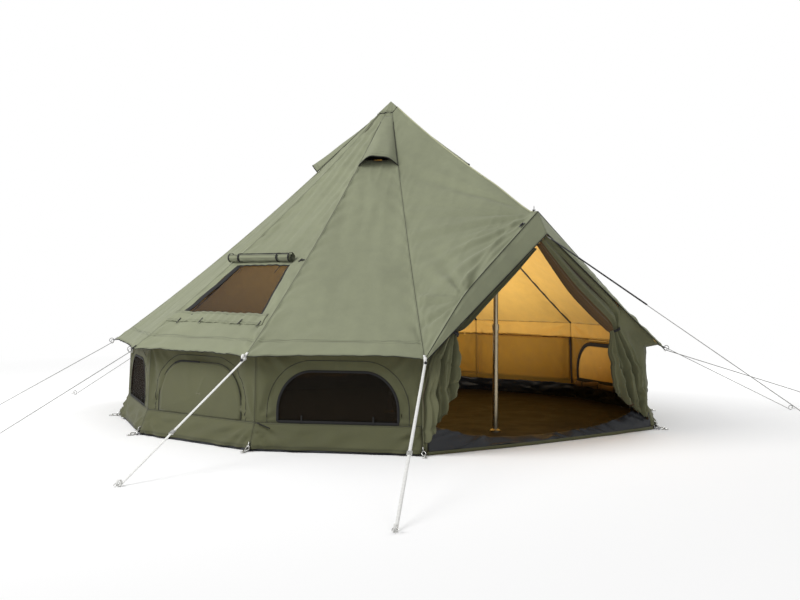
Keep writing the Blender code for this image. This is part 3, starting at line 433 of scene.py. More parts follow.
def canvas(tree, base, mottling=0.11):
    """Polycotton canvas, plain woven and proofed: matt, faded in soft patches, darker where it
    is felled and stitched. The weave is drawn at 6 mm, as coarse as it needs to show."""
    place = node(tree, "TexCoord", {}, "Object")
    patches = node(tree, "TexNoise", {"Vector": place, "Scale": 1.9, "Detail": 4.0, "Roughness": 0.55})
    grime = node(tree, "TexNoise", {"Vector": place, "Scale": 11.0, "Detail": 5.0, "Roughness": 0.6})
    tone = mottle(tree, base, patches, 0.35, 0.65, 1 - mottling * 0.5, 1 + mottling * 0.3)
    fine = node(tree, "MapRange", (grime, 0.3, 0.7, 0.0, 1.0))
    speckle = node(tree, "MapRange", (fine, 0.0, 1.0, 0.94, 1.05))
    tone = node(tree, "HueSaturation", {"Color": tone, "Value": speckle})
    seam = node(tree, "Attribute", {}, "Fac", attribute_name="seam")
    felled = node(tree, "MapRange", (seam, 0.0015, 0.0065, 0.75, 0.0))
    tone = node(tree, "Mix", {0: felled, 6: tone, 7: shade(base, 0.25)}, 2, data_type="RGBA")
    stitch_pitch, stitch_row = 0.012, 0.011
    run = node(tree, "SeparateXYZ", (node(tree, "TexCoord", {}, "UV"),), "Y")
    dash = node(tree, "Math", (run, stitch_pitch / 2), operation="PINGPONG")
    dash = node(tree, "MapRange", (dash, 0.0015, 0.0028, 1.0, 0.0))
    off_row = node(tree, "Math", (seam, stitch_row), operation="SUBTRACT")
    row = node(tree, "Math", (off_row,), operation="ABSOLUTE")
    row = node(tree, "MapRange", (row, 0.0012, 0.0035, 0.6, 0.0))
    dash = node(tree, "Math", (dash, 0.45), operation="MAXIMUM")
    stitches = node(tree, "Math", (dash, row), operation="MULTIPLY")
    tone = node(tree, "Mix", {0: stitches, 6: tone, 7: shade(base, 0.35)}, 2, data_type="RGBA")
    warp, weft = threads(tree, 0.006, "X"), threads(tree, 0.006, "Y")
    weave = node(tree, "Math", (warp, weft), operation="MULTIPLY")
    relief = node(tree, "Math", (weave, 0.35, grime), operation="MULTIPLY_ADD")
    rough = node(tree, "MapRange", (grime, 0.3, 0.7, 0.85, 0.96))
    bump = node(tree, "Bump", {"Height": relief, "Strength": 0.25, "Distance": 0.003})
    return {"Base Color": tone, "Roughness": rough, "Sheen Weight": 0.08, "Normal": bump}


def coated_cloth(tree, base, roughness=0.45, shine=0.5):
    """PVC-coated polyester, calendered: a low sheen that breaks up over its folds and scuffs."""
    place = node(tree, "TexCoord", {}, "Object")
    folds = node(tree, "TexNoise", {"Vector": place, "Scale": 4.0, "Detail": 3.0, "Distortion": 0.5})
    grit = node(tree, "TexNoise", {"Vector": place, "Scale": 120.0, "Detail": 2.0})
    relief = node(tree, "Math", (grit, 0.15, folds), operation="MULTIPLY_ADD")
    return {
        "Base Color": mottle(tree, base, folds, 0.35, 0.7, 0.8, 1.25),
        "Roughness": node(tree, "MapRange", (folds, 0.3, 0.7, roughness, roughness + 0.2)),
        "Specular IOR Level": shine,
        "Normal": node(tree, "Bump", {"Height": relief, "Strength": 0.4, "Distance": 0.012}),
    }


def insect_net(tree, base, closed_share):
    """Polyester no-see-um net: thin threads with light between them, drawn at 9 mm pitch."""
    warp, weft = threads(tree, 0.009, "X"), threads(tree, 0.009, "Y")
    either = node(tree, "Math", (warp, weft), operation="MAXIMUM")
    cover = node(tree, "MapRange", (either, 0.2, 1.0, closed_share - 0.1, closed_share + 0.1))
    return {"Base Color": base, "Roughness": 0.8, "Alpha": cover, "Specular IOR Level": 0.05}


def webbing_weave(tree, base):
    """Woven polyester webbing or braid: fine ribs across it with painted shade in the grooves between them,
    and soft wear.
    """
    ribs = threads(tree, 0.004, "Y")
    worn = node(tree, "TexNoise", {"Vector": node(tree, "TexCoord", {}, "Object"), "Scale": 60.0})
    # Painted shade: the grooves between the ribs are darkened to half the base colour.
    groove_shade = node(tree, "MapRange", (ribs, 0.0, 0.5, 0.25, 0.0))
    tone = mottle(tree, base, worn, 0.35, 0.7, 0.92, 1.05)
    tone = node(tree, "Mix", {0: groove_shade, 6: tone, 7: shade(base, 0.5)}, 2, data_type="RGBA")
    bump = node(tree, "Bump", {"Height": ribs, "Strength": 0.4, "Distance": 0.001})
    return {"Base Color": tone, "Roughness": 0.8, "Normal": bump}


def metal(tree, base, roughness):
    """Drawn steel with a galvanised or brushed skin: bright, with faint cloudy spangle."""
    place = node(tree, "TexCoord", {}, "Object")
    cloud = node(tree, "TexNoise", {"Vector": place, "Scale": 45.0, "Detail": 4.0})
    rough = node(tree, "MapRange", (cloud, 0.3, 0.7, roughness - 0.05, roughness + 0.08))
    tone = mottle(tree, base, cloud, 0.35, 0.65, 0.9, 1.1)
    return {"Base Color": tone, "Metallic": 1.0, "Roughness": rough}


def powder_coat(tree, base):
    """Baked polyester powder on steel tube: satin black with a slight orange peel."""
    peel = node(tree, "TexNoise", {"Vector": node(tree, "TexCoord", {}, "Object"), "Scale": 400.0})
    bump = node(tree, "Bump", {"Height": peel, "Strength": 0.1, "Distance": 0.0005})
    return {"Base Color": mottle(tree, base, peel, 0.3, 0.7, 0.9, 1.15), "Roughness": 0.45, "Normal": bump}


# What makes each finish, and its colour: one of the tent's own or a hex value.
RECIPES = {
    ROOF: (canvas, "roof"),
    WALL: (canvas, "wall"),
    AMBER: (canvas, "lining", 0.1),
    DEEP_AMBER: (canvas, "wall_lining", 0.12),
    DOOR: (canvas, "5D5E43"),
    # Painted highlight: the pale olive of the ridge's lit edge.
    "ridge canvas, pale olive": (canvas, "A6A789", 0.05),
    # Painted shade: the lining darkened to brown where it lies in shade.
    SHADED_LINING: (canvas, "4E3818", 0.1),
    PIPING: (canvas, "25261F"),
    TUB: (coated_cloth, "tub", 0.36),
    "floor cloth, brown coated": (coated_cloth, "floor", 0.6, 0.2),
    "glass cloth, heat-proof": (coated_cloth, "8E8E8A", 0.55),
    "insect net, black": (insect_net, "1A1712", 0.74),
    # Drawn fully closed, so a real black net turns opaque near-black: painted shade for the vent's dim mouth.
    "vent net, black": (insect_net, "0A0908", 1.1),
    "roof net, black": (insect_net, "34302F", 0.58),
    BLACK_TAPE: (webbing_weave, "101011"),
    BROWN_TAPE: (webbing_weave, "33261A"),
    WHITE_TAPE: (webbing_weave, "webbing"),
    "guy cord, grey": (webbing_weave, "cord"),
    # Painted reflection: the galvanised steel is tinted tan for the amber light that it reflects inside.
    "steel, galvanised": (metal, "B4A98F", 0.34),
    WIRE: (metal, "C9C9C6", 0.25),
    "tube, black powder coat": (powder_coat, "1B1B1C"),
    NYLON: (powder_coat, "202022"),
}


def new_material(name):
    """A material of that name without nodes, and its node tree."""
    made = bpy.data.materials.new(name)
    made.use_nodes = True
    made.node_tree.nodes.clear()
    return made, made.node_tree


def finish(name):
    """The material of that name, made the first time that a piece asks for it."""
    if name in bpy.data.materials:
        return bpy.data.materials[name]
    maker, base, *values = RECIPES[name]
    own = bpy.context.scene.tent_colours
    made, tree = new_material(name)
    skin = maker(tree, tuple(getattr(own, base)) if hasattr(own, base) else linear(base), *values)
    node(tree, "OutputMaterial", {"Surface": node(tree, "BsdfPrincipled", skin)})
    return made


# The roof's surface


def fall(share, start, end, sag):
    """A line from start to end that sags by 4 t (1 - t) of its sag."""
    return start + (end - start) * share - sag * 4 * share * (1 - share)


def eave_reach():
    """How far out the middle of an eave's side is: the eave radius times cos 15 degrees."""
    return shape().eave_radius * math.cos(HALF_SIDE)


def half_gore(distance):
    """Half a gore's width at a distance from the axis: distance times tan 15 degrees."""
    return distance * math.tan(HALF_SIDE)


def hip_height(share):
    """A hip's height, as it falls from the apex to the eave with its sag."""
    return fall(share, shape().apex_height, shape().eave_height, shape().hip_sag)


def roof_point(bearing, side, distance, lift=0.0):
    """A point side metres from a gore's middle line, lift metres off the cloth."""
    reach = eave_reach()
    side, distance, lift = np.broadcast_arrays(*np.atleast_1d(side, distance, lift))
    share = distance / reach
    slope = shape().eave_height - shape().apex_height - shape().hip_sag * 4 * (1 - 2 * share)
    out, across = directions(bearing)
    normal = unit(UP - out * (slope / reach)[..., None])
    level = out * distance[..., None] + across * side[..., None]
    return level + UP * hip_height(share)[..., None] + normal * lift[..., None]


def roof_relief(bearing, side, distance):
    """How far the cloth stands off its smooth surface: a dip between the hips, long pull lines
    down the slope, puckers along the seams and pleats at the eave's tips. The gore with the
    window is calmer round it, and the one with the flue is flat under the patch."""
    half = half_gore(distance)
    edge = half - np.abs(side)
    seed = int(round(bearing)) % 360
    inner = 1 - (np.abs(side) / np.maximum(half, 1e-6)) ** 6
    dip = -0.010 * inner * np.sin(np.pi * np.clip(distance / eave_reach(), 0, 1))
    long = 0.006 if seed in (285, 255) else 0.0035
    streaks = long * ripples(side / 0.13, distance / 1.5, 1.0, seed) * inner
    broad = 0.004 * ripples(side, distance, 0.9, seed + 1) * inner
    pull = 0.0055 * creases(side / 0.35, distance / 1.3, 0.8, seed + 2, 0.2) * inner
    wave = np.sin(2 * np.pi * (distance + 0.7 * edge) / 0.15 + 1.5 * np.sin(distance * 7 + seed))
    pucker = 0.0085 * wave * np.exp(-edge / 0.08) * smooth_step(edge, 0.008, 0.02)
    tips = 0.0
    for sign in (-1, 1):
        corner = sign * half_gore(eave_reach())
        tips = tips + 0.007 * fan(side - corner, distance - eave_reach(), 14, 0.28, seed + sign)
    gather = 0.0022 * np.cos(side / np.maximum(half, 1e-3) * 9 * np.pi) * np.exp(-distance / 0.16) * inner
    felled = 0.0012 * (1 - smooth_step(edge, 0.010, 0.014))
    calm = 1 - (0.5 * bump_at(distance, 1.88, 0.42) ** 2 if seed == 285 else 0.0)
    flat = bump_at(distance, 1.10, 0.30) if seed == 105 else 0.0
    total = (dip + streaks + broad + pull + gather) * calm * (1 - 0.85 * flat) - 0.004 * flat
    return total + (pucker + tips) * smooth_step(edge, 0.0, 0.03) + felled


def on_roof(bearing, side, distance, lift=0.0):
    """A point on the cloth with its relief."""
    side, distance, lift = np.broadcast_arrays(*np.atleast_1d(side, distance, lift))
    return roof_point(bearing, side, distance, lift + roof_relief(bearing, side, distance))


GORES = [45.0 + SIDE_TURN * i for i in range(10)]
WINDOW_BEARING = -75.0
WINDOW_TOP, WINDOW_BOTTOM = 1.64, 2.125
WINDOW_CENTRE = -0.03
WINDOW_TOP_HALF, WINDOW_BOTTOM_HALF = 0.315, 0.47
ROOF_START = 0.075
ATTACH_DISTANCE = 2.335
VENTS = {"front_left": -45.0, "front_right": 45.0, "rear_left": -135.0, "rear_right": 135.0}
VENT_TOP, VENT_MOUTH, VENT_RISE, VENT_ROUNDNESS = 0.16, 0.67, 0.110, 2.4
HOLES = {bearing % 360: (0.36, 0.60) for bearing in VENTS.values()}
HOLES[WINDOW_BEARING % 360] = (WINDOW_TOP, WINDOW_BOTTOM)


def window_half(distance):
    """Half the roof window's width, which grows in a straight line downhill."""
    part = (distance - WINDOW_TOP) / (WINDOW_BOTTOM - WINDOW_TOP)
    return WINDOW_TOP_HALF + (WINDOW_BOTTOM_HALF - WINDOW_TOP_HALF) * np.clip(part, -0.6, 1.25)


def gore_sides(half, bearing, distance):
    """Columns of a gore: close together at its felled seams, and on the window's sides."""
    near = np.array([0.0, 0.004, 0.010, 0.014, 0.024, 0.040])
    shrink = np.minimum(1.0, half / 0.16)[:, None]
    left = -half[:, None] + near * shrink
    first, last = -half[:, None] + 0.062 * shrink, half[:, None] - 0.062 * shrink
    if bearing == WINDOW_BEARING % 360:
        room = half - 0.07 * shrink[:, 0]
        stop_left = np.maximum(WINDOW_CENTRE - window_half(distance), -room)[:, None]
        stop_right = np.minimum(WINDOW_CENTRE + window_half(distance), room)[:, None]
        parts = [lerp(first, stop_left, np.arange(3) / 3), lerp(stop_left, stop_right, np.arange(14) / 14)]
        middle = np.hstack([*parts, lerp(stop_right, last, np.arange(4) / 3)])
    else:
        middle = lerp(first, last, np.arange(21) / 20)
    return np.hstack([left, middle, (half[:, None] - near * shrink)[:, ::-1]])


class TENT_OT_roof(bpy.types.Operator):
    """Ten gores of the cone in one cover, felled together along the hips"""

    bl_idname = "tent.roof"
    bl_label = "Roof cover"

    def execute(self, context):
        reach = eave_reach()
        top = ROOF_START + (WINDOW_TOP - ROOF_START) * np.linspace(0, 1, 66)
        window, low = np.linspace(WINDOW_TOP, WINDOW_BOTTOM, 22), np.linspace(WINDOW_BOTTOM, reach, 20)
        rows = np.concatenate([top, window[1:], low[1:]])
        middle = (rows[1:] + rows[:-1]) / 2
        grids, gaps, runs, keep = [], [], [], []
        for bearing in GORES:
            sides = gore_sides(half_gore(rows), bearing, rows)
            across = sides / half_gore(rows)[:, None]
            cut = shape().eave_scallop * (1 - across**2)
            distance = rows[:, None] - cut * smooth_step(rows[:, None], WINDOW_BOTTOM, reach)
            grids.append(on_roof(bearing, sides, distance))
            edge = half_gore(distance) - np.abs(sides)
            hem = np.abs(reach - cut - distance)
            gaps.append(np.minimum(np.minimum(edge, hem), np.abs(distance - ATTACH_DISTANCE)))
            runs.append(np.stack([sides + bearing, distance], -1))
            hole = HOLES.get(bearing, (0.0, 0.0))
            inside = np.ones((sides.shape[0] - 1, sides.shape[1] - 1), bool)
            inside[np.ix_((middle > hole[0]) & (middle < hole[1]), np.arange(9, 23))] = False
            keep.append(inside)
        gores = [f"roof_gore_{hand}_{i}" for hand in ("left", "right") for i in range(1, 5)]
        cloth("roof_cover", joined(grids), (ROOF, AMBER), (12.8, 3.3),
              " ".join([*gores, "roof_gore_rear"]),
              keep=np.concatenate(keep, 1), seam=joined(gaps), uv=joined(runs))
        return {"FINISHED"}


# Porch


def peak():
    """The peak of the porch, over the door."""
    return np.array([0.0, -shape().peak_reach, shape().peak_height])


def opening_top():
    """The top of the door's opening."""
    return np.array([0.0, -shape().opening_reach, shape().opening_height])


def ridge_point(share):
    """The ridge runs straight out and falls from apex to peak with its sag."""
    share = np.asarray(share, float)
    height = fall(share, shape().apex_height, shape().peak_height, shape().ridge_sag)
    return np.stack([np.zeros_like(share), -shape().peak_reach * share, height], -1)


def hip_point(bearing, share):
    """A hip runs straight out at its bearing, at the hip's height."""
    share = np.asarray(share, float)
    out, _ = directions(bearing)
    return out * (share * shape().eave_radius)[..., None] + UP * hip_height(share)[..., None]


KNEE_X, KNEE_BLEND, KNEE_FADE = 0.875, 0.08, 0.45
KNEE_RISE = {-1: 0.11, 1: -0.03}
BAND_END = 0.015
BAND_WIDTH = 0.2
PORCH_SLOPE = 2.35


def knee_share():
    """Where the knee is on the porch seam, from the hip at 0 to the ridge at 1."""
    return 1 - KNEE_X / (shape().eave_radius * 0.5)


def porch_surface(sign, share, along):
    """The gore beside the door: straight lines from the hip to the ridge, lifted at the knee by
    a softened tent shape."""
    start, end = hip_point(sign * SIDE_TURN, share), ridge_point(share)
    fade = np.maximum(0.0, (share - KNEE_FADE) / (1 - KNEE_FADE)) ** 2
    near, far = along / knee_share(), (1 - along) / (1 - knee_share())
    push = np.maximum(0.0, (near + far - np.sqrt((near - far) ** 2 + KNEE_BLEND)) / 2)
    slack = smooth_step(share, 0.72, 0.955) * (1 - smooth_step(share, 0.955, 1.0))
    lift = KNEE_RISE[sign] * fade * push - 0.040 * slack * along**4
    return lerp(start, end, along[..., None]) + UP * lift[..., None]


def porch_edge(sign, along):
    """The edge of the opening, from the eave's corner to the top of the door."""
    low = hip_point(sign * SIDE_TURN, 1.0) + unit(opening_top() - peak()) * BAND_END
    return lerp(low, opening_top(), along[..., None])


def porch_half(sign):
    """Rows from the gathered top to the porch seam, and on down the band to the opening."""
    start = ROOF_START / shape().eave_radius
    shares = np.concatenate([np.linspace(start, 0.80, 60), np.linspace(0.80, 1.0, 44)[1:]])
    near = np.array([0.0, 0.004, 0.010, 0.014, 0.028])
    along = np.sort(np.concatenate([near / 1.6, np.linspace(0.035, 0.97, 76), 1 - near[:3][::-1] / 3]))
    share, part = np.meshgrid(shares, along, indexing="ij")
    down = np.linspace(0, 1, 15)[1:]
    seam, edge = porch_surface(sign, np.ones_like(along), along), porch_edge(sign, along)
    band = lerp(seam[None], edge[None], down[:, None, None])
    below = np.broadcast_to(down[:, None] * BAND_WIDTH, band.shape[:2])
    from_seam = np.concatenate([(share - 1) * PORCH_SLOPE, below])
    part = np.vstack([part, np.broadcast_to(along, band.shape[:2])])
    return np.concatenate([porch_surface(sign, share, part[: len(share)]), band]), from_seam, part


def porch_relief(sign, grid, from_seam, part):
    """Pleats that fan from the knee and the peak, and folds that run beside the porch seam."""
    knee = porch_surface(sign, np.array(1.0), np.array(knee_share()))
    run = unit(peak() - hip_point(sign * SIDE_TURN, 1.0))
    over = unit(np.cross(run, unit(np.cross(run, ridge_point(0.9) - peak()))))

    def pleats(corner, count, reach, seed):
        """Pleats round a corner, in the plane of the gore."""
        away = grid - corner
        return fan((away * run).sum(-1), (away * over).sum(-1), count, reach, seed + sign)

    edge = smooth_step(part, 0.0, 0.04) * (1 - smooth_step(part, 0.80, 0.99))
    from_hip = part * np.linalg.norm(grid[:, :1] - grid[:, -1:], axis=-1)
    down = np.linalg.norm(grid[:, :1] - ridge_point(0.0), axis=-1)
    wave = np.sin(2 * np.pi * (down + 0.7 * from_hip) / 0.15 + 1.5 * np.sin(down * 7))
    pucker = 0.007 * wave * np.exp(-from_hip / 0.08) * smooth_step(from_hip, 0.012, 0.055)
    lines = smooth_step(part, 0.0, 0.04) * (1 - smooth_step(part, 0.90, 1.0))
    gore = from_seam < 0
    beside = bump_at(from_seam, -0.105 - 0.05 * part, 0.022) * smooth_step(part, 0.2, 0.4)
    shallow = bump_at(from_seam, -0.045, 0.02)
    long, wide = (grid * run).sum(-1), (grid * over).sum(-1)
    broad = 0.004 * ripples(long, wide, 0.8, 41 + sign)
    pull = 0.0035 * creases(long / 1.6, wide / 0.6, 0.7, 43 + sign)
    relief = 0.017 * pleats(knee, 11, 0.36, 31) + 0.014 * beside - 0.009 * shallow + broad + 1.3 * pull
    folds = (0.016 * pleats(peak(), 15, 0.50, 37) + 0.012 * pleats(peak(), 25, 0.9, 53)) * lines
    calm = smooth_step(np.abs(from_seam), 0.0, 0.05)
    dip = -0.012 * np.sin(np.pi * part) * np.clip(1 + from_seam / PORCH_SLOPE, 0, 1) * gore
    band = 0.006 * (ripples(long / 0.16, wide / 1.4, 1.0, 47 + sign) + 1.6) * smooth_step(from_seam, 0, 0.06)
    band = band * (1 - smooth_step(from_seam, 0.15, BAND_WIDTH))
    return edge * (relief * calm * gore + dip + band) + (folds * calm + pucker) * gore


class TENT_OT_porch(bpy.types.Operator):
    """The two gores beside the door, which meet at the ridge, and the band round the opening"""

    bl_idname = "tent.porch"
    bl_label = "Porch cover"

    def execute(self, context):
        grids, gaps, bars = [], [], []
        along = np.linspace(0.0, 1.0, 60)
        for sign in (-1, 1):
            grid, from_seam, part = porch_half(sign)
            normal = grid_normals(grid, np.array([0, 0, 0.8]))
            grid = grid + normal * porch_relief(sign, grid, from_seam, part)[..., None]
            hip_gap = part * np.linalg.norm(grid[:, :1] - grid[:, -1:], axis=-1)
            gap = np.minimum(np.minimum(hip_gap, np.abs(from_seam)), np.abs(BAND_WIDTH - from_seam))
            grids.append(grid[:, ::-sign])
            gaps.append(np.minimum(gap, (1 - part) * 1.4 + 0.004)[:, ::-sign])
            bars.append(bar(porch_edge(sign, along), rod(0.0035), UP))
            seam = porch_surface(sign, np.ones(60), along)
            bars.append(bar(seam + np.array([0, -0.001, 0.001]), rod(0.0022, 6), UP))
        cloth("porch_cover", joined(grids), (ROOF, AMBER), (3.0, 2.6),
              "porch_gore_left porch_gore_right",
              centre=(0, 0, 0.8), seam=joined(gaps))
        trim("opening_binding", bars, BLACK_TAPE)
        # The ridge's seam is drawn pale: a painted highlight for the edge where the light catches it.
        steps = np.linspace(0.05, 0.975, 60)
        path = porch_surface(-1, steps, np.ones_like(steps)) + np.array([0.004, 0, 0.003])
        trim("ridge_seam", [bar(path, rod(0.006), UP)], "ridge canvas, pale olive")
        return {"FINISHED"}


# Cap and vents


class TENT_OT_cap(bpy.types.Operator):
    """The cone over the gathered tops of the gores, with a stitched hem"""

    bl_idname = "tent.cap"
    bl_label = "Apex cap"

    def execute(self, context):
        shares = np.concatenate([[0.002], np.linspace(0.02, 0.114, 12), [0.122, 0.128]]) / shape().eave_radius
        corners = [ridge_point(shares)] + [hip_point(k * SIDE_TURN, shares) for k in range(1, 12)]
        corners = np.stack(corners + corners[:1])
        grid = lerp(corners[:-1, None], corners[1:, None], (np.arange(8) / 8)[None, :, None, None])
        grid = grid.reshape(96, len(shares), 3).transpose(1, 0, 2)
        around = np.arange(96)[None, :] * 2 * np.pi / 96
        wide = np.hypot(grid[..., 0], grid[..., 1])
        hem = smooth_step(wide, 0.02, 0.12)
        lift = 0.004 + 0.0025 * hem * np.cos(around * 12) + 0.0015 * hem * np.sin(around * 29)
        grid = grid + UP * (lift * (1 - 0.4 * smooth_step(0.06 - wide, 0, 0.06)))[..., None]
        cloth("cap", grid, (ROOF, AMBER), (0.3, 0.3), "apex_cap",
              centre=(0, 0, 0), seam=np.abs(wide - 0.112), closed=True)
        trim("cap_hem", [bar(grid[-1], rod(0.0032, 6), UP, True)], BLACK_TAPE)
        return {"FINISHED"}


def vent_point(bearing, across, distance, lift=0.0):
    """The hood: it swells downhill by its rise times 1 - |across|^roundness."""
    down = np.clip((distance - VENT_TOP) / (VENT_MOUTH - VENT_TOP), 0, 1)
    swell = VENT_RISE * down * (1 - np.abs(across) ** VENT_ROUNDNESS)
    return roof_point(bearing, across * half_gore(distance), distance, 0.003 + swell + lift)


class TENT_OT_vents(bpy.types.Operator):
    """Four hoods that open downhill, each with a bound mouth and a net behind it"""

    bl_idname = "tent.vents"
    bl_label = "Vent hoods"

    def execute(self, context):
        across, distance = np.meshgrid(np.linspace(-1, 1, 61), np.linspace(VENT_TOP, VENT_MOUTH, 34))
        down, edge = (distance - VENT_TOP) / (VENT_MOUTH - VENT_TOP), 1 - np.abs(across)
        side, rise = np.meshgrid(np.linspace(-0.96, 0.96, 31), np.linspace(0, 1, 9))
        for place, bearing in VENTS.items():
            seed = int(bearing) % 360
            folds = 0.004 * np.sin(across * 7 + 3 * down + seed) * down * smooth_step(edge, 0.0, 0.2)
            folds += 0.004 * ripples(across, distance * 2, 0.8, seed) * smooth_step(edge, 0.0, 0.25)
            grid = vent_point(bearing, across, distance, folds * down)
            gap = np.minimum(edge * half_gore(distance), np.abs(VENT_MOUTH - distance - 0.02))
            # The hood's inner face takes the lining darkened to brown: painted shade under the hood.
            cloth(f"vent_{place}", grid, (ROOF, SHADED_LINING), (0.42, 0.56),
                  f"vent_hood_{place}", centre=roof_point(bearing, 0.0, 0.5, -0.2)[0], seam=gap)
            out, _ = directions(bearing)
            sides = [bar(grid[4:, column], rod(0.0022, 6), out) for column in (1, -2)]
            trim(f"vent_binding_{place}", [bar(grid[-1], rod(0.004), out), *sides], BLACK_TAPE)
            low = roof_point(bearing, side * half_gore(0.61), 0.61, 0.002)
            net = lerp(low, vent_point(bearing, side, 0.61, -0.003), rise[..., None])
            # The net is drawn opaque near-black: a real black net, with painted shade for the dim vent mouth
            # behind it.
            cloth(f"vent_net_{place}", net, "vent net, black", (0.3, 0.09),
                  thickness=0.0006)
        return {"FINISHED"}


# Roof window

ROLL_CENTRE, ROLL_RADIUS, ROLL_CORE, ROLL_TURNS = -0.08, 0.034, 0.008, 3.0
ROLL_HALF_LENGTH, ROLL_DISTANCE = 0.365, WINDOW_TOP - 0.034 - 0.012
ROLL_LIFT = 0.004
BAND_TOP, BAND_BOTTOM = 2.098, 2.198


def on_gore(side, distance, lift=0.0):
    """A point on the gore that has the window."""
    return on_roof(WINDOW_BEARING, side, distance, lift)


class TENT_OT_roof_window(bpy.types.Operator):
    """The roof's net with its frame of tape, and the cover rolled up above it"""

    bl_idname = "tent.roof_window"
    bl_label = "Roof window"

    def execute(self, context):
        rows = np.linspace(WINDOW_TOP - 0.03, WINDOW_BOTTOM + 0.03, 22)
        part, distance = np.meshgrid(np.linspace(-1, 1, 29), rows)
        side = WINDOW_CENTRE + part * (window_half(distance) + 0.03)
        slack = 0.006 * (1 - part**2) * np.sin(np.pi * (distance - WINDOW_TOP) / 0.485)
        cloth("roof_window_net", on_gore(side, distance, -0.009 - slack), "roof net, black",
              (0.9, 0.58), "roof_window_mesh", thickness=0.0008)
        normal = (roof_point(WINDOW_BEARING, 0.0, 1.9, 1.0) - roof_point(WINDOW_BEARING, 0.0, 1.9))[0]
        steps = np.linspace(WINDOW_TOP, WINDOW_BOTTOM, 24)
        left, right = WINDOW_CENTRE - window_half(steps), WINDOW_CENTRE + window_half(steps)
        sill, head = (np.linspace(left[i], right[i], 30) for i in (-1, 0))
        black = [
            bar(on_gore(left + 0.030, steps, -0.003), tape(0.060, 0.003), normal),
            bar(on_gore(right - 0.004, steps, -0.001), tape(0.016, 0.003), normal),
            bar(on_gore(sill, WINDOW_BOTTOM - 0.002, 0.0005), tape(0.012, 0.003), normal),
            bar(on_gore(head, WINDOW_TOP + 0.002, 0.0005), tape(0.016, 0.003), normal),
        ]
        drop = WINDOW_TOP + np.linspace(0.0, 0.075, 9)
        for side in (-0.22, 0.21):
            black.append(bar(on_gore(WINDOW_CENTRE + side, drop, 0.004), tape(0.010, 0.0015), normal))
        trim("roof_window_tape", black, BLACK_TAPE)
        part, distance = np.meshgrid(np.linspace(0, 1, 60), np.linspace(BAND_TOP, BAND_BOTTOM, 9))
        side = lerp(-window_half(distance) - 0.10, window_half(distance) + 0.055, part)
        lift = 0.006 + 0.003 * np.sin(part * 23) * np.sin(part * 9) * bump_at(distance, 2.10, 0.04)
        gap = np.minimum(distance - BAND_TOP, BAND_BOTTOM - distance)
        cloth("roof_window_band", on_gore(side, distance, lift), ROOF, (1.12, 0.096),
              seam=np.abs(gap - 0.008))
        steps = np.linspace(2.165, 2.215, 6)
        bars = [bar(on_gore(x, steps, 0.010), tape(0.009, 0.002), normal) for x in (-0.44, -0.16, 0.30, 0.50)]
        spot = on_gore(0.385, 1.60, 0.012)[0]
        bars.append(toggle(spot, directions(WINDOW_BEARING)[1] + UP * 0.4, normal))
        bars.append(bar(on_gore([0.36, 0.385, 0.41], [1.61, 1.60, 1.59], 0.005), tape(0.014, 0.0015), normal))
        trim("roof_window_toggles", bars, NYLON)
        self.roll_cover()
        return {"FINISHED"}

    def roll_cover(self):
        """A spiral of cloth, r = core + (outer - core) t, pinched where the ties hold it. Its
        centre stands off the roof by the middle of its outer turn."""
        under = ROLL_RADIUS - (ROLL_RADIUS - ROLL_CORE) / (2 * ROLL_TURNS) + GAP
        centre, below = (
            roof_point(WINDOW_BEARING, ROLL_CENTRE, ROLL_DISTANCE + step, under)[0] for step in (0.0, 0.01)
        )
        along = directions(WINDOW_BEARING)[1]
        uphill = unit(centre - below)
        off = np.cross(along, uphill)
        turn, run = np.meshgrid(np.linspace(0, 1, 150), np.linspace(-1, 1, 70), indexing="ij")
        angle = 2 * np.pi * ROLL_TURNS * turn
        length = run * ROLL_HALF_LENGTH
        ties = np.array([-0.24, 0.22])
        pinch = sum(bump_at(length, tie, 0.022) for tie in ties)
        swell = 0.05 * ripples(angle * 0.3, length * 4, 1.2, 5) + 0.04 * np.sin(angle * 2 + length * 30)
        radius = ROLL_CORE + (ROLL_RADIUS - ROLL_CORE) * turn
        radius = np.minimum(radius * (1.0 + 0.10 * (1 - pinch) + swell * turn - 0.16 * pinch), 0.0395)
        reach = length + 0.012 * np.sin(angle * 0.5 + 1) * np.sign(run) * np.abs(run) ** 8
        grid = centre + along * reach[..., None] + off * (radius * np.cos(angle))[..., None]
        grid = grid + uphill * (radius * np.sin(angle))[..., None] + off * ROLL_LIFT
        gap = np.minimum((1 - np.abs(run)) * ROLL_HALF_LENGTH, (1 - turn) * 0.2)
        cloth("roof_window_cover", grid, ROOF, (0.73, 0.42), "roof_window_roll",
              centre=centre, seam=gap, thickness=0.0025)
        middle = centre + off * ROLL_LIFT
        bars = [wrap(middle + along * tie, along, 0.0365, 36, tape(0.018, 0.0018)) for tie in ties]
        rail = centre + along * np.linspace(-0.30, 0.30, 12)[:, None] + uphill * 0.040 + off * 0.012
        bars.append(bar(rail, tape(0.014, 0.002), off))
        for end in (-0.357, 0.357):
            bars.append(wrap(middle + along * end, along, 0.0385, 30, tape(0.014, 0.0015)))
        trim("roof_window_ties", bars, BLACK_TAPE)


# Walls

WALLS = {"left": (-45.0, -75.0, -105.0), "right": (45.0, 75.0, 105.0)}
STORM_BEARING, COVERED_BEARING = -75.0, 105.0
PANEL_LOW, PANEL_HIGH = SEAM_RADIUS * math.sin(HALF_SIDE), WALL_TOP_RADIUS * math.sin(HALF_SIDE)
INNER_SEAM = 0.45
SILL, ARCH_HEIGHT, ARCH_HALF = 0.012, 0.375, 0.455
CORNER_WIDE, CORNER_HIGH = 0.26, 0.29
WINDOW_MIDDLE = 0.17
SKIRT_HEIGHT, HEM_SHARE = 0.17, 1.05
HIDDEN_POST = 4


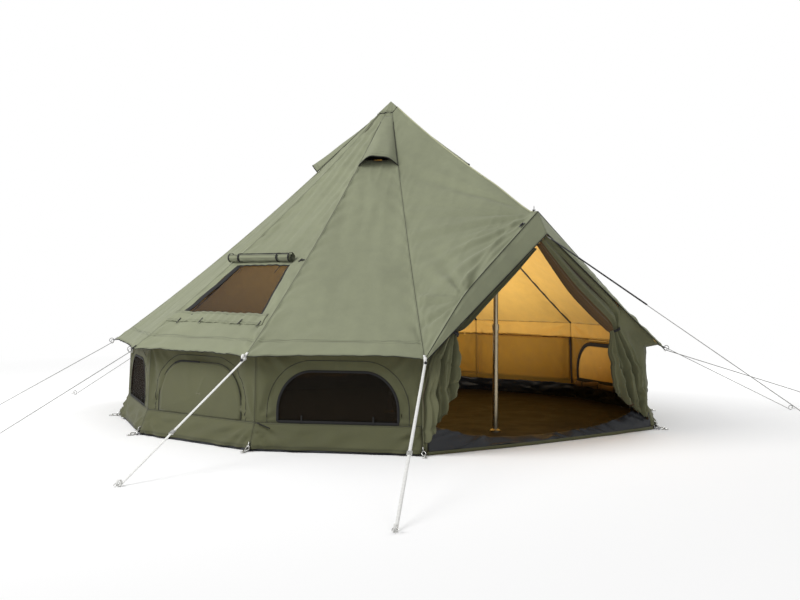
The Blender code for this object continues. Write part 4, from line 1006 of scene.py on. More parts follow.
def wall_top():
    """The wall ends 9 mm under the hips, where the roof's edge hides its seam."""
    return float(hip_height(WALL_TOP_RADIUS / shape().eave_radius)) - 0.009


def wall_axes(bearing):
    """Where a panel stands: its place on the mud seam, then sideways, up its face and outwards."""
    out, across = directions(bearing)
    low = out * SEAM_RADIUS * math.cos(HALF_SIDE) + UP * SEAM_HEIGHT
    high = out * WALL_TOP_RADIUS * math.cos(HALF_SIDE) + UP * wall_top()
    up = unit(high - low)
    return low, across, up, np.cross(across, up), float(np.linalg.norm(high - low))


def on_wall(bearing, x, y, z=0.0):
    """x runs sideways, y up the panel's face and z outwards from it."""
    low, across, up, off, _ = wall_axes(bearing)
    x, y, z = np.broadcast_arrays(*np.atleast_1d(x, y, z))
    return low + across * x[..., None] + up * y[..., None] + off * z[..., None]


def brighten_top(piece):
    """Gives the inner face above the inner seam the roof's own lining."""
    mesh = piece.data
    mesh.materials.append(mesh.materials[0])
    mesh.materials.append(finish(AMBER))
    places = np.empty(len(mesh.vertices) * 3, np.float32)
    mesh.vertices.foreach_get("co", places)
    corners = np.empty(len(mesh.loops), np.int32)
    mesh.loops.foreach_get("vertex_index", corners)
    height = places.reshape(-1, 3)[corners.reshape(-1, 4), 2].mean(1)
    slots = np.where(height > SEAM_HEIGHT + INNER_SEAM, 2, 0).astype(np.int32)
    mesh.polygons.foreach_set("material_index", slots)


def arch_line(grow, sill, steps=16):
    """A window's outline: level sill, short upright sides and a flat-topped arch."""
    half, top = ARCH_HALF + grow, SILL + ARCH_HEIGHT + grow
    wide, high = CORNER_WIDE + grow, CORNER_HIGH + grow
    angle = np.linspace(0, math.pi / 2, steps)
    right = np.stack([half - wide + wide * np.cos(angle), top - high + high * np.sin(angle)], -1)
    right = np.vstack([[(half, sill)], right])
    return np.vstack([right, right[::-1] * (-1, 1)])


def arch_reach(angle, grow, sill):
    """How far the window's edge is from its middle in each direction."""
    outline = even_line(arch_line(grow, sill), 900, True) - (0, WINDOW_MIDDLE)
    around = np.arctan2(outline[:, 1], outline[:, 0])
    order = np.argsort(around)
    return np.interp(angle, around[order], np.hypot(*outline.T)[order], period=2 * np.pi)


def panel_relief(x, y, half, top, seed):
    """Pull lines from a panel's four corners and the window's feet, fading out at its seams."""
    edge = np.minimum(np.minimum(half - np.abs(x), y), top - y)
    total = 0.006 * ripples(x, y, 0.5, seed) + 0.005 * creases(x * 1.4, y * 2.2, 0.5, seed + 3)
    for sign in (-1, 1):
        total = total + 0.012 * fan(x - sign * half, y - top, 9, 0.24, seed + 5 + sign)
        total = total + 0.010 * fan(x - sign * half, y, 10, 0.24, seed + 9 + sign)
        total = total + 0.005 * fan(x - sign * ARCH_HALF, y - SILL, 8, 0.12, seed + 13 + sign)
    total = total + 0.0025 * np.sin(2 * np.pi * x / 0.055 + seed) * np.exp(-(top - y) / 0.05)
    return total * smooth_step(edge, 0.0, 0.045)


def panel_folds(bearing, x, y):
    """The panel's half width at each height, and the relief of its cloth."""
    *_, top = wall_axes(bearing)
    half = lerp(PANEL_LOW, PANEL_HIGH, y / top)
    return half, panel_relief(x, y, half, top, int(bearing) % 360)


def window_panel(bearing):
    """A wall panel as rings from the window's edge out to the panel's seams."""
    *_, top = wall_axes(bearing)
    side = np.array([(PANEL_LOW, 0.0), (PANEL_HIGH, top), (-PANEL_HIGH, top), (-PANEL_LOW, 0.0)])
    spans = zip(side, np.roll(side, -1, 0), (26, 44, 26, 60))
    rim = np.vstack([lerp(a, b, (np.arange(n) / n)[:, None]) for a, b, n in spans])
    away = rim - (0, WINDOW_MIDDLE)
    reach = arch_reach(np.arctan2(away[:, 1], away[:, 0]), 0.0, SILL)
    inner = unit(away) * reach[:, None] + (0, WINDOW_MIDDLE)
    steps = np.array([0, 0.03, 0.08, 0.15, 0.24, 0.34, 0.45, 0.56, 0.67, 0.77, 0.86, 0.93, 0.97, 1.0])
    flat = lerp(inner[None], rim[None], steps[:, None, None])
    x, y = flat[..., 0], flat[..., 1]
    half, relief = panel_folds(bearing, x, y)
    relief = relief * lerp(0.1, 1.0, smooth_step(steps, 0.0, 0.3))[:, None]
    return on_wall(bearing, x, y, relief), np.minimum(half - np.abs(x), y), flat


def arch_sheet(bearing, grow, sill, stand, bulge):
    """A sheet in the shape of the window, from its middle out: it bellies by 1 - r^2."""
    angle = np.linspace(-np.pi, np.pi, 96, endpoint=False)
    share = np.linspace(0.0, 1.0, 13)[:, None]
    reach = arch_reach(angle, grow, sill)[None, :] * share
    x, y = reach * np.cos(angle), WINDOW_MIDDLE + reach * np.sin(angle)
    seed = int(bearing) % 360
    wave = 0.3 * ripples(x, y, 0.35, seed + 40) + 0.3 * creases(x, y * 1.5, 0.4, seed + 41)
    lift = stand + bulge * (1 - share**2) * (1 + wave)
    return on_wall(bearing, x, y, lift), (1 - share) * ARCH_HALF, np.stack([x, y], -1)


def polygon_corners():
    """Unit corners of the tent's outline, from the door's right post round to its left."""
    out, _ = directions(np.arange(1, 12) * SIDE_TURN)
    return out


def polygon_points(radius, steps):
    """Points round the outline at a radius for each row, with that many to each side."""
    corners = polygon_corners()
    part = (np.arange(steps) / steps)[None, :, None]
    line = lerp(corners[:-1, None], corners[1:, None], part).reshape(-1, 3)
    return np.vstack([line, corners[-1:]])[None] * np.asarray(radius)[..., None]


def side_share(steps):
    """How far along its side each point of the outline is, from 0 to 1."""
    return np.concatenate([np.tile(np.arange(steps) / steps, 10), [1.0]])


def polygon_normals(steps):
    """Outward unit vectors round the outline, turned to the corner's own at the corners."""
    line = polygon_points(np.array([[1.0]]), steps)[0]
    bearings = np.repeat(np.arange(1, 11) * SIDE_TURN + SIDE_TURN / 2, steps)
    facing, _ = directions(np.append(bearings, bearings[-1]))
    run = side_share(steps)
    near = np.exp(-np.minimum(run, 1 - run) * 14)[:, None]
    return unit(lerp(facing, unit(line), near))[None]


def polygon_run(steps):
    """Distance along the outline, and from its nearest corner, as one row."""
    side = 2 * shape().base_radius * math.sin(HALF_SIDE)
    run = side_share(steps)
    return (np.arange(10 * steps + 1) / steps * side)[None], (np.minimum(run, 1 - run) * side)[None]


def polygon_uv(grid):
    """Texture places in metres: along the outline, and up the cloth."""
    return np.stack(np.broadcast_arrays(run_along(grid[0])[None, :], run_along(grid[:, 0])[:, None]), -1)


class TENT_OT_walls(bpy.types.Operator):
    """Wall panels with arched windows, the plain rear ones, and the skirt at their foot"""

    bl_idname = "tent.walls"
    bl_label = "Walls"

    def execute(self, context):
        for hand, bearings in WALLS.items():
            for number, bearing in enumerate(bearings, 1):
                grid, gap, uv = window_panel(bearing)
                wall = cloth(f"wall_{hand}_{number}", grid, (WALL, DEEP_AMBER), (1.26, 0.52),
                             f"wall_panel_{hand}_{number}", area=1.26 * 0.51 - 0.31, seam=gap,
                             closed=True, uv=uv)
                brighten_top(wall)
            self.rear(hand, -1 if hand == "left" else 1)
        self.skirt()
        radius = lerp(SEAM_RADIUS, WALL_TOP_RADIUS, 0.75) - 0.024
        path = polygon_points(np.array([[radius]]), 12)[0] + UP * (SEAM_HEIGHT + INNER_SEAM)
        tapes = [bar(path, tape(0.014, 0.005), UP)]
        for k, out in enumerate(polygon_corners()[1:-1], 2):
            if k == HIDDEN_POST:
                continue
            foot, head = out * (SEAM_RADIUS - 0.006) + UP * 0.16, out * (WALL_TOP_RADIUS - 0.006) + UP * 0.66
            tapes.append(bar(even_line(np.stack([foot, head]), 6), tape(0.024, 0.002), -out))
            for drop in (0.0, 0.03):
                spot = out * (WALL_TOP_RADIUS - 0.012) + UP * (0.655 - drop)
                hang = np.linspace(spot, spot - out * 0.01 - UP * 0.05, 4)
                tapes.append(bar(hang, tape(0.008, 0.0015), -out))
        trim("inner_wall_seams", tapes, BROWN_TAPE)
        return {"FINISHED"}

    def rear(self, hand, sign):
        """Two plain panels in one piece, folded at the post between them."""
        parts, gaps = [], []
        for bearing in sorted((sign * 135.0, sign * 165.0)):
            *_, top = wall_axes(bearing)
            across, y = np.meshgrid(np.linspace(-1, 1, 61), np.linspace(0, top, 26))
            x = across * lerp(PANEL_LOW, PANEL_HIGH, y / top)
            half, relief = panel_folds(bearing, x, y)
            parts.append(on_wall(bearing, x, y, relief))
            gaps.append(np.minimum(half - np.abs(x), y))
        wall = cloth(f"wall_rear_{hand}", joined(parts), (WALL, DEEP_AMBER), (2.5, 0.52),
                     f"wall_panel_rear_{hand}", seam=joined(gaps))
        brighten_top(wall)

    def skirt(self):
        """The mud skirt leans out from the seam to the hem in folds, over a black strip."""
        share = np.append(np.linspace(0, 1, 12), [1.08, 1.17])[:, None]
        run, corner = polygon_run(44)
        fold = 0.005 * np.sin(run * 17 + 2 * np.sin(run * 3.1)) + 0.013 * ripples(run, share * 0.4, 0.35, 77)
        fan_out = np.arctan2(share * SKIRT_HEIGHT + 0.01, corner + 0.02)
        fold = fold + 0.022 * np.exp(-corner / 0.28) * np.sin(fan_out * 16 + run) + 0.010 * share
        fold = (fold + np.sqrt(fold**2 + 0.006**2)) / 2 - 0.002
        calm = smooth_step(share, 0.0, 0.35) * smooth_step(corner, 0.0, 0.03)
        radius = lerp(SEAM_RADIUS, shape().base_radius, np.minimum(share, 1.0))
        grid = polygon_points(radius, 44) + polygon_normals(44) * (fold * calm)[..., None]
        grid = grid + UP * lerp(SEAM_HEIGHT, HEM_HEIGHT, share)[..., None]
        gap = np.minimum(share * SKIRT_HEIGHT, np.abs(HEM_SHARE - share) * SKIRT_HEIGHT + 0.004)
        cloth("mud_skirt", grid, (WALL, DEEP_AMBER), (12.9, 0.18),
              seam=np.minimum(gap, corner), uv=polygon_uv(grid))
        share = np.linspace(0, 1, 6)[:, None]
        puff = 0.003 * share * (1 + 0.5 * np.sin(run * 11))
        foot = shape().base_radius - 0.008 + 0.006 * share
        strip = polygon_points(foot, 44) + polygon_normals(44) * puff[..., None]
        strip = strip + UP * lerp(0.032, 0.0015, share)[..., None]
        cloth("ground_strip", strip, TUB, (12.9, 0.045), uv=polygon_uv(strip))


# Windows in the walls

ROLL_TIES, WALL_ROLL_HALF, WALL_ROLL_RADIUS = (-0.7, 0.0, 0.7), 0.44, 0.027


class TENT_OT_windows(bpy.types.Operator):
    """The nets, their bindings, the storm flap and the covers inside"""

    bl_idname = "tent.windows"
    bl_label = "Wall windows"

    def execute(self, context):
        for hand, bearings in WALLS.items():
            for number, bearing in enumerate(bearings, 1):
                self.window(f"{hand}_{number}", bearing)
                self.inner_cover(f"{hand}_{number}", bearing)
        self.storm_flap()
        return {"FINISHED"}

    def window(self, place, bearing):
        """The net with its binding on both faces, and the piping that runs round it."""
        off = wall_axes(bearing)[3]
        grid, _, uv = arch_sheet(bearing, 0.025, GAP, -0.0045, -0.004)
        cloth(f"window_net_{place}", grid, "insect net, black", (0.96, 0.41),
              f"window_mesh_{place}", thickness=0.0006, closed=True, uv=uv)
        rim = arch_line(0.0, SILL)
        outer = on_wall(bearing, rim[:, 0], rim[:, 1], -0.003 if bearing == STORM_BEARING else 0.0012)
        bars = [bar(even_line(outer, 120, True), tape(0.019, 0.003), off, True)]
        for x in (-0.27, 0.27) if bearing != STORM_BEARING else ():
            bars.append(bar(on_wall(bearing, x, np.linspace(0.0, 0.06, 5), 0.004), tape(0.012, 0.002), off))
        if bearing != COVERED_BEARING:
            rim = arch_line(0.016, SILL)
            inner = even_line(on_wall(bearing, rim[:, 0], rim[:, 1], -0.022), 120, True)
            bars.append(bar(inner, tape(0.040, 0.004), -off, True))
        trim(f"window_binding_{place}", bars, BLACK_TAPE)
        x, y = even_line(arch_line(0.080, 0.004), 160).T
        line = on_wall(bearing, x, y, 0.0005 + 0.97 * panel_folds(bearing, x, y)[1])
        trim(f"window_seam_{place}", [bar(line, rod(0.0024, 6), off)], PIPING)

    def inner_cover(self, place, bearing):
        """A cover rolled up under the window and held by ties; on the right one is zipped shut."""
        _, across, up, off, _ = wall_axes(bearing)
        if bearing == COVERED_BEARING:
            half = 0.605
            x, y = np.meshgrid(np.linspace(-half, half, 61), np.linspace(-0.01, 0.45, 17))
            stand = 0.007 + 0.026 * smooth_step(half - np.abs(x), 0.0, 0.10)
            grid = on_wall(bearing, x, y, 0.6 * panel_relief(x, y, half, 0.6, 105) - stand)
            cloth(f"window_cover_{place}", grid, DEEP_AMBER, (1.22, 0.47))
            return
        run = np.linspace(-1, 1, 60)
        thick = 1 + 0.10 * np.sin(run * 9) - 0.25 * sum(bump_at(run, tie, 0.05) for tie in ROLL_TIES)
        sag = -0.012 * (1 - bump_at(run, 0, 0.4)) + 0.006 * np.sin(run * 6)
        path = on_wall(bearing, run * WALL_ROLL_HALF, -0.012 + sag, -0.050)
        roll = bar(path, rod(WALL_ROLL_RADIUS, 16), off, False, thick)
        # The rolled cover is drawn in the lining darkened to brown: painted shade on the roll.
        trim(f"window_roll_{place}", [roll], SHADED_LINING)
        bars = []
        for tie in ROLL_TIES:
            middle = on_wall(bearing, tie * WALL_ROLL_HALF, -0.018, -0.050)[0]
            bars.append(wrap(middle, across, 0.026, 24, tape(0.016, 0.0018)))
            hang = np.linspace(middle - off * 0.027, middle - off * 0.03 - up * 0.07, 5)
            bars.append(bar(hang, tape(0.012, 0.0015), off))
        trim(f"window_roll_ties_{place}", bars, BLACK_TAPE)
        if place not in ("left_1", "left_3"):
            grid, _, uv = arch_sheet(bearing, 0.004, SILL, -0.018, -0.010)
            cloth(f"window_cover_{place}", grid, AMBER, (0.92, 0.38),
                  closed=True, uv=uv)

    def storm_flap(self):
        """The bellied cover of one window, its edge piped and its zip at one side."""
        off = wall_axes(STORM_BEARING)[3]
        grid, edge, uv = arch_sheet(STORM_BEARING, 0.03, GAP, 0.0022, 0.012)
        cloth("storm_flap_cover", grid, WALL, (0.97, 0.41), "window_flap_left_2",
              "storm_flap", seam=np.abs(edge - 0.02), closed=True, uv=uv)
        outline = even_line(arch_line(0.03, 0.004), 240)
        rim = on_wall(STORM_BEARING, outline[:, 0], outline[:, 1], 0.005)
        trim("storm_flap_edge", [bar(rim, rod(0.0024, 6), off)], PIPING, "storm_flap")
        zip_part = bar(rim[120:168] + off * 0.0015, tape(0.012, 0.003), off)
        trim("storm_flap_zip", [zip_part], BLACK_TAPE, "storm_flap")


# Floor, tub and threshold


class TENT_OT_floor(bpy.types.Operator):
    """The brown floor, the crumpled tub wall round it and the threshold in the door"""

    bl_idname = "tent.floor"
    bl_label = "Groundsheet"

    def execute(self, context):
        base = shape().base_radius
        edge = even_line(polygon_corners()[:, :2] * (base - 0.006), 360, True)
        flat = edge[None] * np.concatenate([[0.0], np.linspace(0.02, 1, 60)])[:, None, None]
        x, y = flat[..., 0], flat[..., 1]
        height = 0.0030 + 0.0014 * creases(x, y, 1.1, 3, 0.12) + 0.0012 * creases(x, y, 0.5, 4, 0.15)
        height = height + 0.0006 * ripples(x, y, 0.3, 5)
        grid = np.dstack([x, y, np.clip(height, 0.0018, 0.008)])
        cloth("floor_sheet", grid, ("floor cloth, brown coated", TUB), (4.98, 4.66),
              "groundsheet_floor", centre=(0, 0, -9), closed=True, uv=flat)
        run, _ = polygon_run(60)
        share = np.linspace(0, 1, 16)[:, None]
        height = lerp(0.003, 0.16, share)
        lean = np.clip((height - HEM_HEIGHT) / (SEAM_HEIGHT - HEM_HEIGHT), 0, 1)
        radius = lerp(base, SEAM_RADIUS, lean) - 0.0045
        slump = 0.5 + 0.5 * np.tanh(ripples(run, share * 0.2, 0.5, 11))
        crumple = 0.012 * np.abs(ripples(run, share * 0.35, 0.30, 12))
        crumple = crumple + 0.010 * creases(run, share * 0.3, 0.5, 13)
        inward = (crumple + 0.014 * slump) * smooth_step(share, 0.02, 0.4) * (1 - 0.5 * share)
        lower = 0.018 * slump * share + 0.004 * ripples(run, share, 0.25, 14) * share
        grid = polygon_points(radius, 60) - polygon_normals(60) * inward[..., None]
        grid = grid + UP * (height - lower)[..., None]
        cloth("tub_band", grid, TUB, (12.9, 0.17), "groundsheet_tub_wall",
              area=12.9 * 0.17, uv=polygon_uv(grid))
        self.threshold()
        return {"FINISHED"}

    def threshold(self):
        """The door's share of the tub, high at the posts and slumped low between them."""
        across, rise = np.meshgrid(np.linspace(-1, 1, 121), np.linspace(0, 1, 20))
        half, line = 1.2, -shape().base_radius * math.cos(math.radians(SIDE_TURN)) - 0.0006
        x = across * half
        y = line - 0.06 * (1 - across**2) + 0.07 * rise**2
        z = (0.062 + (0.235 - 0.062) * np.abs(across) ** 3) * rise
        fold = 0.024 * creases(x * 0.7, z * 3 + 0.6 * np.abs(x), 0.4, 22, 0.15)
        fold = 0.008 * ripples(x, z * 2.5, 0.35, 21) + fold
        fold = fold * smooth_step(rise, 0.05, 0.5) * smooth_step(1 - np.abs(across), 0, 0.05)
        grid = np.dstack([x, y - 0.6 * fold, z + 0.003 + 0.35 * fold * rise])
        cloth("threshold", grid, TUB, (2.42, 0.16), "door_sill",
              centre=(0, 0, 0.1), thickness=0.002)
        across, rise = np.meshgrid(np.linspace(-1, 1, 121), np.linspace(0, 1, 5))
        x = across * (half + 0.02)
        wave = 0.004 * ripples(x, rise * 0.2, 0.4, 23)
        y = line - 0.06 * (1 - across**2) - 0.006 - 0.004 * np.sin(rise * np.pi) + wave * (1 - rise)
        cloth("threshold_hem", np.dstack([x, y, 0.002 + 0.026 * rise]), WALL, (2.46, 0.03),
              centre=(0, 0, 0.1))


# Door flaps

# Inner edge's distance from the door's middle and its height, the outer edge's two, and the
# depth of the folds, from the top of the opening down to the hem, as the frame has them.
LEFT_FLAP = (
    (0.100, 1.510, 0.150, 1.562, 0.010),
    (0.360, 1.295, 0.420, 1.362, 0.014),
    (0.630, 1.090, 0.700, 1.156, 0.017),
    (0.850, 0.925, 0.920, 0.950, 0.017),
    (0.950, 0.880, 1.020, 0.885, 0.014),
    (0.935, 0.790, 1.100, 0.790, 0.024),
    (0.930, 0.690, 1.150, 0.650, 0.026),
    (0.935, 0.600, 1.180, 0.450, 0.026),
    (0.940, 0.540, 1.190, 0.280, 0.026),
    (0.946, 0.490, 1.195, 0.130, 0.022),
)
RIGHT_FLAP = (
    (-0.085, 1.550, 0.035, 1.648, 0.008),
    (0.235, 1.200, 0.397, 1.386, 0.017),
    (0.460, 1.010, 0.618, 1.224, 0.018),
    (0.650, 0.870, 0.800, 1.060, 0.017),
    (0.700, 0.830, 0.810, 0.900, 0.014),
    (0.695, 0.700, 0.910, 0.770, 0.024),
    (0.715, 0.560, 1.010, 0.590, 0.026),
    (0.745, 0.430, 1.060, 0.420, 0.026),
    (0.790, 0.330, 1.090, 0.270, 0.026),
    (0.860, 0.260, 1.100, 0.140, 0.022),
)
TIE_STATION, STATION_STEPS = 4, 9


class TENT_OT_door(bpy.types.Operator):
    """The two door flaps, gathered and tied back, and the zip tape beside the right one"""

    bl_idname = "tent.door"
    bl_label = "Door flaps"

    def execute(self, context):
        for hand, sign, table in (("left", -1, LEFT_FLAP), ("right", 1, RIGHT_FLAP)):
            self.flap(hand, sign, table)
        return {"FINISHED"}

    def flap(self, hand, sign, table):
        """Pleats: the depth times cos(6 pi a), with finer ones over them that wander downwards."""
        values = smooth_curve(table, STATION_STEPS)
        inner_x, inner_z, outer_x, outer_z, depth = (values[:, i : i + 1] for i in range(5))
        down = np.linspace(0, 9, len(values))[:, None]
        low = smooth_step(down, 4.5, 7)
        outer_x = outer_x + (0.055 if sign > 0 else 0.045) * low
        inner_x = inner_x + (0.012 if sign > 0 else -0.03) * low
        corner = hip_point(sign * SIDE_TURN, 1.0)
        place = np.minimum(1.0, (inner_x + outer_x) / 2 / abs(corner[0]))
        line = lerp(opening_top()[1], corner[1], place) + 0.022
        across = np.linspace(0, 1, 129)[None, :]
        skirt = smooth_step(down, TIE_STATION + 0.3, TIE_STATION + 2.0)
        wander = across + 0.03 * np.sin(down * 1.3 + 5 * across) * skirt
        fold = 0.95 * np.cos(6 * np.pi * wander) + 0.2 * np.cos(20 * np.pi * wander + down) * skirt
        fold = fold + 0.18 * np.cos(14 * np.pi * across + 1)
        bunch = 0.45 * creases(across * 0.5, down * 0.35, 0.55, 81 + sign)
        bunch = bunch + 0.22 * ripples(across * 0.7, down * 0.3, 0.4, 83)
        fold = fold + bunch * skirt
        outer_z = outer_z - 0.05 * smooth_step(down, 6, 9)
        x = lerp(inner_x, outer_x, across)
        hem = 0.010 * np.sin(12 * np.pi * across + 1) * smooth_step(down, 7.5, 9)
        z = lerp(inner_z, outer_z, across) + hem
        grid = np.dstack([sign * x, line + depth * (1 + 0.4 * skirt) * fold, z])
        gap = np.minimum(np.minimum(across, 1 - across) * (outer_x - inner_x), (9 - down) * 0.15)
        # The flap's inner face is the lining darkened to brown: painted shade.
        flap = cloth(f"door_cloth_{hand}", grid, (DOOR, SHADED_LINING), (0.62, 2.1),
                     f"door_flap_{hand}", area=sheet_area(grid) * 1.1, seam=gap, thickness=0.0018)
        if sign > 0:
            self.shade_turn_back(flap, across.shape[1])
        self.jamb(hand, sign, grid[:, -1])
        row = TIE_STATION * STATION_STEPS
        middle, below = (
            np.array([sign * (v[0] + v[2]) / 2, line[i, 0], (v[1] + v[3]) / 2])
            for i, v in ((row, values[row]), (row + 4, values[row + 4]))
        )
        band = wrap(middle, below - middle, 0.046, 36, tape(0.022, 0.002), 0.55, (0, 1, 0))
        knob = toggle(middle + np.array([0, -0.036, 0.004]), (1, 0, 0.2), (0, 0, 1))
        trim(f"door_tie_{hand}", [band, knob], BLACK_TAPE)
        if sign > 0:
            run = np.linspace(0.03, 0.62, 40)[:, None]
            edge = lerp(opening_top() + np.array([0.012, 0, -0.03]), corner, run)
            edge = edge + np.array([-0.012, 0.040, -0.030])
            trim(f"door_zip_{hand}", [bar(edge, tape(0.03, 0.003), (0, -1, 0))], BROWN_TAPE)

    def shade_turn_back(self, flap, columns):
        """Shows the lining where the flap's inner edge is rolled over, above the tie, in the brown of painted
        shade.
        """
        mesh = flap.data
        mesh.materials.append(mesh.materials[1])
        mesh.materials.append(mesh.materials[1])
        corners = np.empty(len(mesh.loops), np.int32)
        mesh.loops.foreach_get("vertex_index", corners)
        row, column = np.divmod(corners.reshape(-1, 4), columns)
        # Painted shade: these faces of the rolled-over edge take the darkened brown lining.
        rolled_in_shade = (row.mean(1) < TIE_STATION * STATION_STEPS - 3) & (column.mean(1) < 0.36 * columns)
        mesh.polygons.foreach_set("material_index", np.where(rolled_in_shade, 2, 0).astype(np.int32))

    def jamb(self, hand, sign, edge):
        """The strip that joins the flap's outer edge to the wall's, down to the ground."""
        height = np.linspace(0.70, 0.03, 36)
        reach = np.linspace(0.93, 0.03, 36)
        order = np.argsort(edge[:, 2])
        near = np.stack([np.interp(reach, edge[order, 2], edge[order, i]) for i in (0, 1)], -1)
        near = np.column_stack([near * (0.975, 1.0) - (0, 0.006), reach])
        base = shape().base_radius
        places, radii = (0.0, HEM_HEIGHT, SEAM_HEIGHT, wall_top()), (base, base, SEAM_RADIUS, WALL_TOP_RADIUS)
        far = directions(sign * SIDE_TURN)[0] * np.interp(height, places, radii)[:, None]
        far = far + UP * height[:, None]
        part = np.linspace(0, 1, 12)[None, :, None]
        grid = lerp(near[:, None], far[:, None], part)
        corner = hip_point(sign * SIDE_TURN, 1.0)
        top = lerp(opening_top(), corner, np.linspace(0.61, 0.985, 12)[:, None]) + np.array([0, 0.020, 0.012])
        grid = np.concatenate([lerp(top[None], grid[:1], (np.arange(9) / 9)[:, None, None]), grid])
        wave = 0.010 * np.sin(part * 9) * np.sin(part * np.pi)
        area, tall = sheet_area(grid), 0.95
        cloth(f"door_jamb_{hand}", grid + wave * np.array([0.0, -1.0, 0.0]), DOOR,
              (round(area / tall / 0.75, 2), tall), area=area)


# Flue

FLUE_BEARING, FLUE_DISTANCE, FLUE_HALF, FLUE_HOLE = 105.0, 1.45, 0.19, 0.065


def on_flue(x, y, lift=0.0):
    """A point of the roof by its place from the middle of the flue's hole."""
    return roof_point(FLUE_BEARING, x, FLUE_DISTANCE + y, lift)


class TENT_OT_flue(bpy.types.Operator):
    """The heat-proof patch with its round hole, and the flap that covers it"""

    bl_idname = "tent.flue"
    bl_label = "Flue patch and cover"

    def execute(self, context):
        angle = np.linspace(-np.pi, np.pi, 96, endpoint=False)
        square = FLUE_HALF / np.maximum(np.abs(np.cos(angle)), np.abs(np.sin(angle)))
        share = np.linspace(0, 1, 14)[:, None]
        reach = lerp(FLUE_HOLE, square[None], share)
        x, y = reach * np.cos(angle), reach * np.sin(angle)
        grid = on_flue(x, y, 0.003 + 0.002 * np.sin(share * np.pi) * (1 + np.sin(angle * 12)))
        cloth("flue_patch_cloth", grid, "glass cloth, heat-proof", (0.38, 0.38),
              "flue_patch", thickness=0.002, closed=True, uv=np.dstack([x, y]))
        normal = on_flue(0.0, 0.0, 1.0)[0] - on_flue(0.0, 0.0)[0]
        trim("flue_collar", [bar(grid[1], tape(0.016, 0.0025), normal, True)], BLACK_TAPE)
        half = FLUE_HALF + 0.03
        part, down = np.meshgrid(np.linspace(-1, 1, 41), np.linspace(-1, 1, 41))
        bulge = 0.006 * (1 - part**4) * (1 - down**4) + 0.003 * creases(part, down, 1.1, 61)
        slack = 0.002 * np.abs(ripples(part, down, 0.9, 62)) * (1 - part**8) * (1 - down**8)
        grid = on_flue(part * half, down * half, 0.0085 + bulge + slack)
        gap = (1 - np.maximum(np.abs(part), np.abs(down))) * half
        cloth("flue_flap_cloth", grid, ROOF, (0.44, 0.46), "flue_flap", "flue_cover",
              seam=np.abs(gap - 0.012))
        rim = np.vstack([grid[2:-1, -1], grid[-1, ::-1], grid[-2:1:-1, 0]])
        trim("flue_flap_piping", [bar(rim, rod(0.003, 6), normal)], BLACK_TAPE, "flue_cover")
        return {"FINISHED"}


# Guy lines

EYE_RADIUS, EYE_POINTS, EYE_CLEARANCE, EYE_SEAT = 0.02, 27, 0.0006, 0.0005
CORD_DIAMETER, STRAP_WIDTH, STRAP_THICKNESS = 0.006, 0.02, 0.002
DOOR_PEG, SHOULDER_PEG, LEFT_PEG, REAR_PEG = (2.775, -3.935), 4.0, 3.79, 3.6
PEAK_PEG, PEAK_EYE_SHARE = -5.3, 0.8
WEBBING_BEARINGS = (-30.0, -60.0)


def guy_chain(start, end, thickness):
    """A line with an eye at each end, in the upright plane through its two eye centres."""
    along = unit(end - start)
    below = unit(along * along[2] - UP)
    opening = math.acos(1 - (thickness + EYE_CLEARANCE) / EYE_RADIUS)

    def around(centre, first, last):
        """Part of the circle round the centre of an eye."""
        turn = np.linspace(first, last, EYE_POINTS + 1)[:, None]
        return centre + (below * np.cos(turn) + along * np.sin(turn)) * EYE_RADIUS

    line = start + below * EYE_RADIUS + (end - start) * (np.arange(1, 12)[:, None] / 12)
    whole = (around(start, opening - 2 * np.pi, 0.0), line, around(end, 0.0, 2 * np.pi - opening))
    return np.vstack(whole), along


def guy_lines():
    """Each guy's node, start, end and whether it is flat webbing."""
    ground = EYE_RADIUS + 0.0006
    for k in range(1, 12):
        bearing = k * SIDE_TURN if k <= 6 else k * SIDE_TURN - 360.0
        number = round(abs(bearing) / SIDE_TURN)
        side = 1 if bearing > 0 else -1
        name = "guy_rear" if k == 6 else f"guy_{'right' if side > 0 else 'left'}_{number}"
        out, _ = directions(bearing)
        if number == 1:
            peg = np.array([side * DOOR_PEG[0], DOOR_PEG[1], 0.0])
        elif number == 2:
            peg = out * SHOULDER_PEG
        else:
            peg = out * (REAR_PEG if bearing > 0 else LEFT_PEG)
        flat = bearing in WEBBING_BEARINGS
        thick = STRAP_THICKNESS if flat else CORD_DIAMETER
        reach = EYE_RADIUS + thick / 2 - EYE_SEAT + (0.0027 if number == 1 else 0.0)
        start = hip_point(bearing, 1.0) + out * reach - UP * (CLOTH / 2)
        yield name, start, peg + UP * (ground + thick / 2), flat
    ahead = unit(np.cross(opening_top() - peak(), np.array([-1.0, 0.0, 0.0])))
    start = lerp(peak(), opening_top(), PEAK_EYE_SHARE) + ahead * (EYE_RADIUS + CORD_DIAMETER / 2 + 8 * GAP)
    yield "guy_peak", start, np.array([0.0, PEAK_PEG, ground + CORD_DIAMETER / 2]), False


